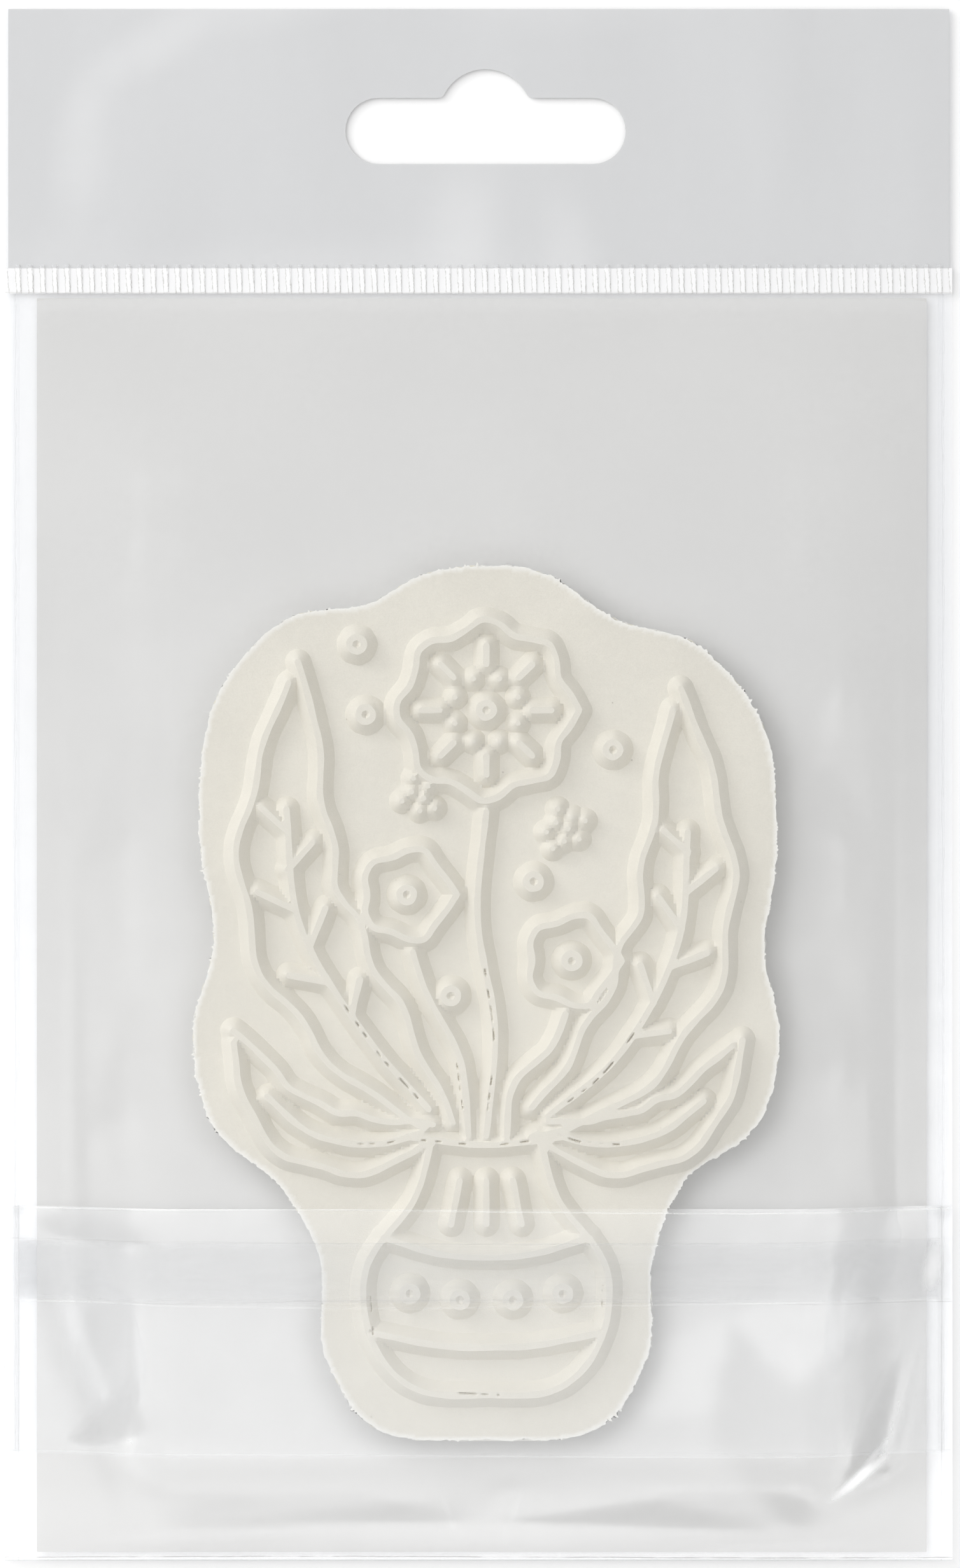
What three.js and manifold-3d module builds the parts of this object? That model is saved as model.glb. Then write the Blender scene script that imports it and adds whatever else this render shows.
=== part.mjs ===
// A cling-mounted rubber stamp on its storage card, in a clear hanging pouch.
// Millimetres. The pouch lies on its back: +Z is up through the layers, +Y runs
// towards the header and +X to the right. The origin is the middle of the pouch's back.

import * as THREE from 'three';
import { mergeVertices } from 'three/addons/utils/BufferGeometryUtils.js';
import Module from 'manifold-3d';

const wasm = await Module();
wasm.setup();

// Storage card: an A6 sheet of heavy board
const cardWidth = 105;
const cardHeight = 148;
const cardThickness = 0.4;
const cardShift = 0.35;

// Pouch of thin clear film
const filmThickness = 0.08;
const sidePlay = 3.4;
const bottomPlay = 1.1;
const topPlay = 0.6;
const layerGap = 0.05;
const drapeGap = 0.3;

// Header: an opaque sheet shut between the two films, with a hanging slot
const headerHeight = 30.6;
const headerThickness = 0.12;
const headerInset = 0.35;
const slotShift = 0.8;
const slotWidth = 33.1;
const slotHeight = 7.8;
const slotBottomDrop = 18.3;
const domeRadius = 5.5;
const domeTopDrop = 7.1;
const domeFillet = 0.8;

// Knurled weld between header and pocket
const sealHeight = 3;
const ribPitch = 1.45;
const ribWidth = 0.58;
const ribRise = 0.1;
const ribTab = 0.4;
const ribInset = 0.15;

// Side welds
const seamInset = 1.3;
const seamWidth = 0.8;

// Flap folded up over the front, with its strip of adhesive
const mouthHeight = 12.8;
const flapHeight = 42;
const foldRadius = 0.4;
const stripThickness = 0.1;
const stripWidth = 7;
const stripBottom = 31;

// Stamp: rubber die, bonding sheet, foam cushion and cling skin, trimmed together
const dieWidth = 69;
const dieHeight = 103;
const dieShift = 0.9;
const dieBottom = 14.4;
const skinThickness = 0.2;
const foamThickness = 3;
const bondThickness = 0.1;
const plateThickness = 1.1;
const reliefHeight = 1.5;

// Relief: each raised line has a narrow printing crest and sloped walls
const crestWidth = 0.8;
const wallRun = 0.95;
const reliefRoot = 0.3;
const lineStep = 2;
const pearlCrest = 0.85;
const pearlWall = 0.4;
const ringCrestRadius = 1.55;
const ringHoleRadius = 0.85;
const dimpleDepth = 0.7;

// Where the film leaves the stamp's edge, and how far the card pushes it up
const restMargin = 2;
const cardClearance = 0.3;

// Worked out: the pouch's outline
const pouchWidth = cardWidth + 2 * sidePlay;
const pouchHeight = bottomPlay + cardHeight + topPlay + sealHeight + headerHeight;
const halfWidth = pouchWidth / 2;
const bottomY = -pouchHeight / 2;
const topY = pouchHeight / 2;
const sealTopY = topY - headerHeight;
const sealBottomY = sealTopY - sealHeight;
const mouthY = bottomY + mouthHeight;
const foldY = bottomY + foldRadius;

// Worked out: the levels of the layers
const frontLevel = filmThickness + headerThickness;
const cardLevel = filmThickness + layerGap;
const cardTop = cardLevel + cardThickness;
const skinLevel = cardTop + layerGap;
const foamLevel = skinLevel + skinThickness;
const bondLevel = foamLevel + foamThickness;
const plateLevel = bondLevel + bondThickness;
const plateTop = plateLevel + plateThickness;
const crestLevel = plateTop + reliefHeight;
const restLevel = crestLevel + drapeGap;
const overCard = cardTop + cardClearance;
const flapLift = filmThickness + layerGap + stripThickness;

const cardBottomY = bottomY + bottomPlay;
const cardTopY = cardBottomY + cardHeight;
const cardLeft = cardShift - cardWidth / 2;
const cardRight = cardShift + cardWidth / 2;
const dieBottomY = bottomY + dieBottom;
const dieTopY = dieBottomY + dieHeight;
const dieLeft = dieShift - dieWidth / 2;
const dieRight = dieShift + dieWidth / 2;

const materials = {
  film: new THREE.MeshStandardMaterial({
    color: 0xf4f5f6, roughness: 0.12, metalness: 0, transparent: true, opacity: 0.25,
  }),
  header: new THREE.MeshStandardMaterial({ color: 0xdadada, roughness: 0.3, metalness: 0 }),
  card: new THREE.MeshStandardMaterial({ color: 0xd8d7d5, roughness: 0.9, metalness: 0 }),
  skin: new THREE.MeshStandardMaterial({ color: 0xe6e7e8, roughness: 0.25, metalness: 0 }),
  foam: new THREE.MeshStandardMaterial({ color: 0xf1f0ec, roughness: 0.95, metalness: 0 }),
  adhesive: new THREE.MeshStandardMaterial({ color: 0xe9e7df, roughness: 0.5, metalness: 0 }),
  rubber: new THREE.MeshStandardMaterial({ color: 0xdfdbd0, roughness: 0.8, metalness: 0 }),
};

function named(name, geometry, material) {
  const mesh = new THREE.Mesh(geometry, material);
  mesh.name = name;
  return mesh;
}

// Solids are joined and cut as closed meshes with only their positions left
function toSolid(geometry) {
  const bare = geometry.clone();
  bare.deleteAttribute('normal');
  bare.deleteAttribute('uv');
  const welded = mergeVertices(bare);
  return new wasm.Manifold(new wasm.Mesh({
    numProp: 3,
    vertProperties: Float32Array.from(welded.attributes.position.array),
    triVerts: Uint32Array.from(welded.index.array),
  }));
}

function toGeometry(solid) {
  const mesh = solid.getMesh();
  const geometry = new THREE.BufferGeometry();
  geometry.setAttribute('position', new THREE.BufferAttribute(mesh.vertProperties, 3));
  geometry.setIndex(new THREE.BufferAttribute(mesh.triVerts, 1));
  geometry.computeVertexNormals();
  return geometry;
}

function join(geometries) {
  const solids = geometries.map(toSolid);
  return toGeometry(solids.reduce((whole, next) => whole.add(next)));
}

function block(left, right, bottom, top, low, high) {
  const box = new THREE.BoxGeometry(right - left, top - bottom, high - low);
  return box.translate((left + right) / 2, (bottom + top) / 2, (low + high) / 2);
}

// Hanging slot: a round-ended slot with a dome on its upper side and filleted feet
function hangingSlot() {
  const radius = slotHeight / 2;
  const middleY = topY - slotBottomDrop + radius;
  const upperY = middleY + radius;
  const reach = slotWidth / 2 - radius;
  const domeY = topY - domeTopDrop - domeRadius;
  const filletY = upperY + domeFillet;
  const span = domeRadius + domeFillet;
  const filletX = Math.sqrt(span * span - (filletY - domeY) ** 2);
  const lean = Math.atan2(filletY - domeY, filletX);
  const outline = new THREE.Path();
  outline.absarc(slotShift - reach, middleY, radius, -Math.PI / 2, Math.PI / 2, true);
  outline.absarc(slotShift - filletX, filletY, domeFillet, -Math.PI / 2, -lean, false);
  outline.absarc(slotShift, domeY, domeRadius, Math.PI - lean, lean, true);
  outline.absarc(slotShift + filletX, filletY, domeFillet, Math.PI + lean, 1.5 * Math.PI, false);
  outline.absarc(slotShift + reach, middleY, radius, Math.PI / 2, -Math.PI / 2, true);
  return outline;
}

// A flat rectangle of sheet, slotted where it reaches into the header
function panel(left, right, bottom, top, low, thickness) {
  const shape = new THREE.Shape();
  shape.moveTo(left, bottom);
  shape.lineTo(right, bottom);
  shape.lineTo(right, top);
  shape.lineTo(left, top);
  shape.closePath();
  if (top > sealTopY) shape.holes.push(hangingSlot());
  const options = { depth: thickness, bevelEnabled: false, curveSegments: 8 };
  return new THREE.ExtrudeGeometry(shape, options).translate(0, 0, low);
}

// Fused strip of both films with a row of pressed ribs, which run up over the header's edge
function sealBand() {
  const top = frontLevel + filmThickness;
  const strip = block(-halfWidth, halfWidth, sealBottomY, sealTopY, filmThickness, top);
  const profile = new THREE.Shape();
  profile.moveTo(sealBottomY + ribInset, frontLevel);
  profile.lineTo(sealTopY, frontLevel);
  profile.lineTo(sealTopY, top);
  profile.lineTo(sealTopY + ribTab, top);
  profile.lineTo(sealTopY + ribTab, top + ribRise);
  profile.lineTo(sealBottomY + ribInset, top + ribRise);
  const count = Math.floor((pouchWidth - ribPitch) / ribPitch);
  const ribs = Array.from({ length: count }, (_, i) => {
    const rib = new THREE.ExtrudeGeometry(profile, { depth: ribWidth, bevelEnabled: false });
    rib.rotateX(Math.PI / 2).rotateZ(Math.PI / 2);
    return rib.translate((i - (count - 1) / 2) * ribPitch - ribWidth / 2, 0, 0);
  });
  return join([strip, ...ribs]);
}

// A closed sheet between two faces, each given as a point for every column and row
function sheet(columnCount, rowCount, inside, outside) {
  const positions = [];
  const index = [];
  const faceSize = columnCount * rowCount;
  for (const face of [inside, outside]) {
    for (let row = 0; row < rowCount; row += 1) {
      for (let column = 0; column < columnCount; column += 1) {
        positions.push(...face(column, row));
      }
    }
  }
  const under = (column, row) => row * columnCount + column;
  const over = (column, row) => faceSize + under(column, row);
  const quad = (a, b, c, d) => index.push(a, b, c, a, c, d);
  for (let row = 0; row + 1 < rowCount; row += 1) {
    for (let column = 0; column + 1 < columnCount; column += 1) {
      const right = column + 1;
      const next = row + 1;
      quad(over(column, row), over(right, row), over(right, next), over(column, next));
      quad(under(column, row), under(column, next), under(right, next), under(right, row));
    }
  }
  const lastColumn = columnCount - 1;
  const lastRow = rowCount - 1;
  for (let column = 0; column < lastColumn; column += 1) {
    const right = column + 1;
    quad(under(column, 0), under(right, 0), over(right, 0), over(column, 0));
    quad(under(right, lastRow), under(column, lastRow), over(column, lastRow), over(right, lastRow));
  }
  for (let row = 0; row < lastRow; row += 1) {
    const next = row + 1;
    quad(under(0, next), under(0, row), over(0, row), over(0, next));
    quad(under(lastColumn, row), under(lastColumn, next), over(lastColumn, next), over(lastColumn, row));
  }
  const geometry = new THREE.BufferGeometry();
  geometry.setAttribute('position', new THREE.Float32BufferAttribute(positions, 3));
  geometry.setIndex(index);
  geometry.computeVertexNormals();
  return geometry;
}

function between(start, end, steps) {
  return Array.from({ length: steps }, (_, i) => start + ((end - start) * (i + 1)) / steps);
}

// How far the film has risen between a low place and a high one, from 0 to 1
function rise(value, low, high) {
  return THREE.MathUtils.smoothstep((value - low) / (high - low), 0, 1);
}

// Stations across the pouch: margin, weld, card edge, slope, stamp and back down
const restLeft = dieLeft - restMargin;
const restRight = dieRight + restMargin;
const restTopY = dieTopY + restMargin;
const tuckLeft = cardLeft - layerGap * 4;
const tuckRight = cardRight + layerGap * 4;
const tuckTopY = cardTopY + layerGap * 4;
const seamOuter = halfWidth - seamInset + seamWidth / 2;
const seamInner = halfWidth - seamInset - seamWidth / 2;
const slopeSteps = 4;
const columns = [
  -halfWidth,
  -seamOuter,
  -seamInner,
  tuckLeft,
  ...between(tuckLeft, restLeft, slopeSteps),
  ...between(restLeft, restRight, 4),
  ...between(restRight, tuckRight, slopeSteps),
  seamInner,
  seamOuter,
  halfWidth,
];

// Underside of the front film: welded low at its edges, lifted by the card and the stamp
function frontUnderside(x, y) {
  const sideLift = Math.min(rise(x, -seamInner, tuckLeft), rise(-x, -seamInner, -tuckRight));
  const topLift = rise(-y, -sealBottomY, -tuckTopY);
  const stampSide = Math.min(rise(x, tuckLeft, restLeft), rise(-x, -tuckRight, -restRight));
  const stampTop = rise(-y, -tuckTopY, -restTopY);
  const overTheCard = (overCard - frontLevel) * Math.min(sideLift, topLift);
  return frontLevel + overTheCard + (restLevel - overCard) * stampSide * stampTop;
}

function frontFilm() {
  const rows = [
    mouthY,
    bottomY + flapHeight,
    ...between(bottomY + flapHeight, restTopY, 3),
    ...between(restTopY, tuckTopY, slopeSteps),
    sealBottomY,
  ];
  const inside = (column, row) => {
    const x = columns[column];
    const y = rows[row];
    return [x, y, frontUnderside(x, y)];
  };
  const outside = (column, row) => {
    const [x, y, z] = inside(column, row);
    return [x, y, z + filmThickness];
  };
  return sheet(columns.length, rows.length, inside, outside);
}

// Underside of the closed flap: down at the fold, over the front film from its mouth up
function flapUnderside(x, y) {
  const foldLevel = 2 * foldRadius - filmThickness;
  const overFront = frontUnderside(x, Math.max(y, mouthY)) + flapLift;
  return foldLevel + (overFront - foldLevel) * rise(y, foldY, mouthY);
}

// The flap starts with the half turn of the pouch's bottom fold
function flapFilm() {
  const foldSteps = 4;
  const rampRows = [foldY, ...between(foldY, mouthY, slopeSteps)];
  const rows = [
    ...rampRows,
    bottomY + stripBottom,
    bottomY + stripBottom + stripWidth,
    bottomY + flapHeight,
  ];
  const face = (lift) => (column, row) => {
    const x = columns[column];
    if (row < foldSteps) {
      const turn = Math.PI * (row / foldSteps);
      const radius = foldRadius - filmThickness + lift;
      return [x, foldY - radius * Math.sin(turn), foldRadius - radius * Math.cos(turn)];
    }
    const y = rows[row - foldSteps];
    return [x, y, flapUnderside(x, y) + lift];
  };
  return sheet(columns.length, rows.length + foldSteps, face(0), face(filmThickness));
}

// Adhesive on the flap's inner side, as wide as the pocket between its side welds
function adhesiveStrip() {
  const across = columns.filter((x) => x >= -seamInner && x <= seamInner);
  const rows = [bottomY + stripBottom, bottomY + stripBottom + stripWidth];
  const face = (drop) => (column, row) => {
    const x = across[column];
    const y = rows[row];
    return [x, y, flapUnderside(x, y) - drop];
  };
  return sheet(across.length, rows.length, face(stripThickness), face(0));
}

// The die's drawing: points in percent of its half width and of its height
function onDie(across, up) {
  const x = dieShift + (across / 100) * (dieWidth / 2);
  const y = dieBottomY + (up / 100) * dieHeight;
  return new THREE.Vector3(x, y, 0);
}

const smooth = (points, closed = false) => new THREE.CatmullRomCurve3(points, closed);
const drawn = (points, closed = false) => smooth(points.map(([u, v]) => onDie(u, v)), closed);

// Hand-trimmed edge, about four millimetres outside the drawing
const trimmedEdge = drawn([
  [0, 0.3], [38, 1.6], [55, 10], [57, 21], [68, 30], [92, 36], [100, 46], [95, 56],
  [99, 68], [94, 82], [72, 91], [44, 94], [18, 99.4], [-18, 99.4], [-42, 95.5], [-68, 94],
  [-92, 85], [-98, 70], [-93, 57], [-100, 47], [-93, 36], [-70, 29], [-57, 21], [-55, 10],
  [-38, 1.6],
], true);
const edgeSteps = 96;

function trimmedLayer(low, thickness) {
  const shape = new THREE.Shape(trimmedEdge.getSpacedPoints(edgeSteps).slice(0, -1));
  const options = { depth: thickness, bevelEnabled: false };
  return new THREE.ExtrudeGeometry(shape, options).translate(0, 0, low);
}

// A raised line: a bar with sloped walls that follows a flat curve on the plate. An open
// line ends in a narrower section set ahead of it, which rounds the end.
function raisedLine(curve) {
  const steps = Math.max(2, Math.round(curve.getLength() / lineStep));
  const stations = [];
  for (let i = 0; i < steps; i += 1) stations.push({ t: i / steps, narrow: 1, ahead: 0 });
  if (!curve.closed) {
    stations.unshift({ t: 0, narrow: 0.5, ahead: -0.87 });
    stations.push({ t: 1, narrow: 1, ahead: 0 }, { t: 1, narrow: 0.5, ahead: 0.87 });
  }
  const crest = crestWidth / 2;
  const foot = crest + wallRun * (1 + reliefRoot / reliefHeight);
  const root = plateTop - reliefRoot;
  const section = [[foot, root], [crest, crestLevel], [-crest, crestLevel], [-foot, root]];
  const positions = [];
  for (const { t, narrow, ahead } of stations) {
    const point = curve.getPointAt(t);
    const along = curve.getTangentAt(t);
    for (const [side, level] of section) {
      const out = side * narrow;
      const on = Math.abs(side) * ahead;
      const x = point.x + along.y * out + along.x * on;
      const y = point.y - along.x * out + along.y * on;
      positions.push(x, y, level);
    }
  }
  const index = [];
  const corner = (station, k) => (station % stations.length) * section.length + (k % section.length);
  const quad = (a, b, c, d) => index.push(a, b, c, a, c, d);
  const last = stations.length - 1;
  const spans = curve.closed ? stations.length : last;
  for (let i = 0; i < spans; i += 1) {
    for (let k = 0; k < section.length; k += 1) {
      quad(corner(i, k), corner(i + 1, k), corner(i + 1, k + 1), corner(i, k + 1));
    }
  }
  if (!curve.closed) {
    quad(corner(0, 0), corner(0, 1), corner(0, 2), corner(0, 3));
    quad(corner(last, 3), corner(last, 2), corner(last, 1), corner(last, 0));
  }
  const geometry = new THREE.BufferGeometry();
  geometry.setAttribute('position', new THREE.Float32BufferAttribute(positions, 3));
  geometry.setIndex(index);
  return geometry;
}

// A round raised dot with sloped walls
function raisedDot(place, crestRadius, run) {
  const height = reliefHeight + reliefRoot;
  const footRadius = crestRadius + run * (height / reliefHeight);
  const dot = new THREE.CylinderGeometry(crestRadius, footRadius, height, 8);
  return dot.rotateX(Math.PI / 2).translate(place.x, place.y, crestLevel - height / 2);
}

// A small raised ring with a dimple in its middle
function raisedRing(place) {
  const crestInner = ringHoleRadius;
  const foot = ringCrestRadius + wallRun;
  const root = plateTop - reliefRoot;
  const profile = [
    new THREE.Vector2(0, root),
    new THREE.Vector2(foot, root),
    new THREE.Vector2(ringCrestRadius, crestLevel),
    new THREE.Vector2(crestInner, crestLevel),
    new THREE.Vector2(crestInner / 2, crestLevel - dimpleDepth),
    new THREE.Vector2(0, crestLevel - dimpleDepth),
  ];
  const ring = new THREE.LatheGeometry(profile, 10);
  return ring.rotateX(Math.PI / 2).translate(place.x, place.y, 0);
}

// A ruffled leaf: two wavy margins that cross at the tip, a vein between them and short
// side veins that stop before the margins
function ruffledLeaf(spine, halfLeaf, waves, sideVeins) {
  const samples = waves * 4;
  const ruffle = halfLeaf * 0.13;
  const swell = (t) => Math.sin(Math.PI * Math.pow(t, 0.9));
  const beside = (t, out, ahead = 0) => {
    const place = spine.getPointAt(t);
    const along = spine.getTangentAt(t);
    const x = place.x + along.y * out + along.x * ahead;
    const y = place.y - along.x * out + along.y * ahead;
    return new THREE.Vector3(x, y, 0);
  };
  const margin = (side, first, last) => {
    const points = [];
    for (let i = 0; i <= samples; i += 1) {
      const t = THREE.MathUtils.lerp(first, last, i / samples);
      const wave = ruffle * Math.sin(2 * Math.PI * waves * t) * swell(t);
      points.push(beside(t, side * (halfLeaf * Math.pow(Math.max(swell(t), 0), 0.8) + wave)));
    }
    return raisedLine(smooth(points));
  };
  const lines = [margin(1, 0.02, 1), margin(-1, 0.05, 0.96)];
  lines.push(raisedLine(smooth([0.07, 0.25, 0.5, 0.72].map((t) => beside(t, 0)))));
  for (let i = 0; i < sideVeins; i += 1) {
    const t = THREE.MathUtils.lerp(0.3, 0.68, i / (sideVeins - 1));
    const side = i % 2 === 0 ? 1 : -1;
    const reach = halfLeaf * swell(t) * 0.62;
    lines.push(raisedLine(smooth([beside(t, 0), beside(t, side * reach, reach * 0.9)])));
  }
  return lines;
}

function around(place, angle, reach) {
  return new THREE.Vector3(
    place.x + reach * Math.cos(angle), place.y + reach * Math.sin(angle), 0,
  );
}

// A flower: a closed line of rounded lobes round a dimpled ring
function flower(place, radius, depth, lobes) {
  const points = [];
  const samples = lobes * 5;
  for (let i = 0; i < samples; i += 1) {
    const angle = (2 * Math.PI * i) / samples;
    points.push(around(place, angle, radius + depth * Math.cos(lobes * angle)));
  }
  return [raisedLine(smooth(points, true)), raisedRing(place)];
}

// The main blossom also has beads round its middle and a line up each petal
function blossom(place, radius, depth, lobes) {
  const pieces = flower(place, radius, depth, lobes);
  for (let i = 0; i < lobes; i += 1) {
    const angle = (2 * Math.PI * i) / lobes;
    const line = smooth([around(place, angle, radius * 0.54), around(place, angle, radius * 0.76)]);
    pieces.push(raisedLine(line));
    const half = Math.PI / lobes;
    pieces.push(raisedDot(around(place, angle + half, radius * 0.4), pearlCrest / 2, pearlWall));
  }
  return pieces;
}

// Berries packed round a point, each a golden turn on from the last
function berries(place, count, spacing) {
  const goldenTurn = Math.PI * (3 - Math.sqrt(5));
  const pieces = [];
  for (let i = 0; i < count; i += 1) {
    const berry = around(place, i * goldenTurn, spacing * Math.sqrt(i + 0.4));
    pieces.push(raisedDot(berry, pearlCrest / 2, pearlWall));
  }
  return pieces;
}

function vase() {
  const body = drawn([
    [-19, 34], [-24, 28], [-41, 20], [-38, 11], [-24, 6.2], [0, 5.6],
    [24, 6.2], [38, 11], [41, 20], [24, 28], [19, 34],
  ]);
  const lines = [
    drawn([[-27, 35], [0, 34], [27, 35]]),
    drawn([[-35, 23.5], [-16, 21.6], [0, 21.2], [16, 21.6], [35, 23.5]]),
    drawn([[-38, 12.6], [-16, 11.2], [0, 11], [16, 11.2], [38, 12.6]]),
    ...[-1, 0, 1].map((side) => drawn([[side * 12, 25], [side * 9, 30]])),
  ];
  const rings = [-26, -9, 9, 26].map((u) => raisedRing(onDie(u, 16.3 + u * u * 0.0012)));
  return [body, ...lines].map(raisedLine).concat(rings);
}

function bouquet() {
  const stems = [
    drawn([[0, 35], [3, 47], [-3, 60], [0, 72]]),
    drawn([[-6, 35], [-9, 44], [-20, 51], [-25, 56]]),
    drawn([[7, 35], [9, 41], [22, 45], [27, 49]]),
  ];
  const leaves = [
    ruffledLeaf(drawn([[-11, 35], [-40, 46], [-66, 62], [-64, 89]]), 6, 5, 6),
    ruffledLeaf(drawn([[11, 35], [42, 43], [66, 58], [66, 86]]), 5.8, 5, 6),
    ruffledLeaf(drawn([[-16, 36], [-42, 34], [-68, 37], [-86, 47]]), 3.6, 4, 0),
    ruffledLeaf(drawn([[16, 36], [42, 34], [68, 37], [87, 46]]), 3.6, 4, 0),
  ];
  const seeds = [[-41, 83], [43, 79], [16, 64], [-12, 51], [-44, 91]];
  return [
    ...stems.map(raisedLine),
    ...leaves.flat(),
    ...seeds.map(([u, v]) => raisedRing(onDie(u, v))),
    ...blossom(onDie(0, 83.5), 10, 0.9, 8),
    ...flower(onDie(-27, 62.5), 5.2, 0.65, 5),
    ...flower(onDie(29, 55), 5.2, 0.65, 5),
    ...berries(onDie(-23, 73.5), 7, 0.95),
    ...berries(onDie(26, 70), 9, 0.95),
  ];
}

function rubberDie() {
  return join([trimmedLayer(plateLevel, plateThickness), ...vase(), ...bouquet()]);
}

const pouch = new THREE.Group();
pouch.add(
  named(
    'back_film',
    panel(-halfWidth, halfWidth, foldY, topY, 0, filmThickness),
    materials.film,
  ),
  named(
    'header_panel',
    panel(
      headerInset - halfWidth, halfWidth - headerInset, sealTopY, topY,
      filmThickness, headerThickness,
    ),
    materials.header,
  ),
  named(
    'header_cover_film',
    panel(-halfWidth, halfWidth, sealTopY, topY, frontLevel, filmThickness),
    materials.film,
  ),
  named('seal_band', sealBand(), materials.film),
  named('front_film', frontFilm(), materials.film),
);
for (const [side, name] of [[-1, 'side_seam_left'], [1, 'side_seam_right']]) {
  const middle = side * (halfWidth - seamInset);
  const weld = block(
    middle - seamWidth / 2, middle + seamWidth / 2, mouthY, sealBottomY, filmThickness, frontLevel,
  );
  pouch.add(named(name, weld, materials.film));
}

const flap = new THREE.Group();
flap.add(
  named('flap_film', flapFilm(), materials.film),
  named('adhesive_strip', adhesiveStrip(), materials.adhesive),
);

const card = new THREE.Group();
card.add(named(
  'storage_card',
  block(cardLeft, cardRight, cardBottomY, cardTopY, cardLevel, cardTop),
  materials.card,
));

const stamp = new THREE.Group();
stamp.add(
  named('cling_skin', trimmedLayer(skinLevel, skinThickness), materials.skin),
  named('foam_cushion', trimmedLayer(foamLevel, foamThickness), materials.foam),
  named('bond_adhesive', trimmedLayer(bondLevel, bondThickness), materials.adhesive),
  named('rubber_die', rubberDie(), materials.rubber),
);

const clingStamp = new THREE.Group();
clingStamp.add(pouch, flap, card, stamp);

export default clingStamp;
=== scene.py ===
"""A cling-mounted rubber stamp on its storage card, in a clear hanging pouch."""

import math

import bmesh
import bpy
import numpy as np
from mathutils import Matrix, Vector, noise
from mathutils.bvhtree import BVHTree
from mathutils.geometry import delaunay_2d_cdt
from mathutils.kdtree import KDTree


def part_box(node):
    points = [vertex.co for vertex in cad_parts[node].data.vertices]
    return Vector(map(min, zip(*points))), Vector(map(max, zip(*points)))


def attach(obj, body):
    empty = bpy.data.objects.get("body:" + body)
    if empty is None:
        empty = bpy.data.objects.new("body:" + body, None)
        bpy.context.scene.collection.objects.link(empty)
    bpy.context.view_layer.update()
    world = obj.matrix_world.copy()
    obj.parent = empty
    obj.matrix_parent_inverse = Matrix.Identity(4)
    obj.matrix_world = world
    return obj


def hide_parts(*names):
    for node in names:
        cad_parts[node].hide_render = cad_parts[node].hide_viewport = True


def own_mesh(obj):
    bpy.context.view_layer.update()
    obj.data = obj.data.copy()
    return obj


bl_info = {
    "name": "Cling Stamp in Pouch",
    "version": (1, 0, 0),
    "blender": (4, 5, 0),
    "location": "3D View > Sidebar > Cling Stamp",
    "description": "Dresses a cling stamp, its storage card and its hanging pouch",
    "category": "Object",
}

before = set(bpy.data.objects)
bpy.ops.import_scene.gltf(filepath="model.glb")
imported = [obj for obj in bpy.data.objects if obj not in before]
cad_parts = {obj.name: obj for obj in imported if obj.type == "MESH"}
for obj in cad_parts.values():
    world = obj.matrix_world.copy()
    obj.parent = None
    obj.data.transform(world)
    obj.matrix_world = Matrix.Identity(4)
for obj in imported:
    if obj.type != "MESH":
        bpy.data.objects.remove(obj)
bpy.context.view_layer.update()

MM = 0.001


# Places in millimetres, read from the fixed frame


def levels(node):
    """The lowest and highest level of a CAD node, in millimetres"""
    low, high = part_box(node)
    return low.z / MM, high.z / MM


skin_levels = levels("cling_skin")
foam_levels = levels("foam_cushion")
bond_levels = levels("bond_adhesive")
plate_low, crest_level = levels("rubber_die")
card_top = levels("storage_card")[1]
weld_level = levels("side_seam_left")[1] + 0.04
pouch_low, pouch_high = (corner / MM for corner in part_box("back_film"))
mouth_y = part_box("front_film")[0].y / MM
band_low, band_high = (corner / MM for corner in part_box("seal_band"))
flap_low, flap_high = (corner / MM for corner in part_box("flap_film"))
strip_low, strip_high = (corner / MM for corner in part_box("adhesive_strip"))
half_width = pouch_high.x

# Where the die stands, how high film lies over the card, and where a side weld is melted
die_middle, die_foot = 0.9, pouch_low.y + 14
flat_level = 0.8
weld_middle = 54.75


# The camera's sensor, in millimetres
sensor = 36


# Settings that a user would change


class ClingStampRubber(bpy.types.PropertyGroup):
    """The moulded rubber die"""

    width: bpy.props.FloatProperty(
        name="Die width", description="Across the trimmed die",
        default=0.069, unit="LENGTH", subtype="DISTANCE",
    )
    height: bpy.props.FloatProperty(
        name="Die height", description="From the die's foot to its top",
        default=0.103, unit="LENGTH", subtype="DISTANCE",
    )
    pitch: bpy.props.FloatProperty(
        name="Relief pitch", description="Distance between the relief's points",
        default=0.00034, precision=5, unit="LENGTH", subtype="DISTANCE",
    )
    plate: bpy.props.FloatProperty(
        name="Plate thickness", description="Rubber under the relief",
        default=0.0011, precision=4, unit="LENGTH", subtype="DISTANCE",
    )
    crest: bpy.props.FloatProperty(
        name="Crest width", description="Printing crest of a raised line",
        default=0.00072, precision=5, unit="LENGTH", subtype="DISTANCE",
    )
    wall: bpy.props.FloatProperty(
        name="Wall run", description="How far a raised line's wall slopes out",
        default=0.0012, precision=4, unit="LENGTH", subtype="DISTANCE",
    )
    nibs: bpy.props.FloatProperty(
        name="Nib reach", description="How far the scissors' nibs stand out of the edge",
        default=0.0003, precision=5, unit="LENGTH", subtype="DISTANCE",
    )
    color: bpy.props.FloatVectorProperty(
        name="Rubber colour", description="Grey ivory of the rubber",
        default=(0.783, 0.75, 0.666), subtype="COLOR",
    )


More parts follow.
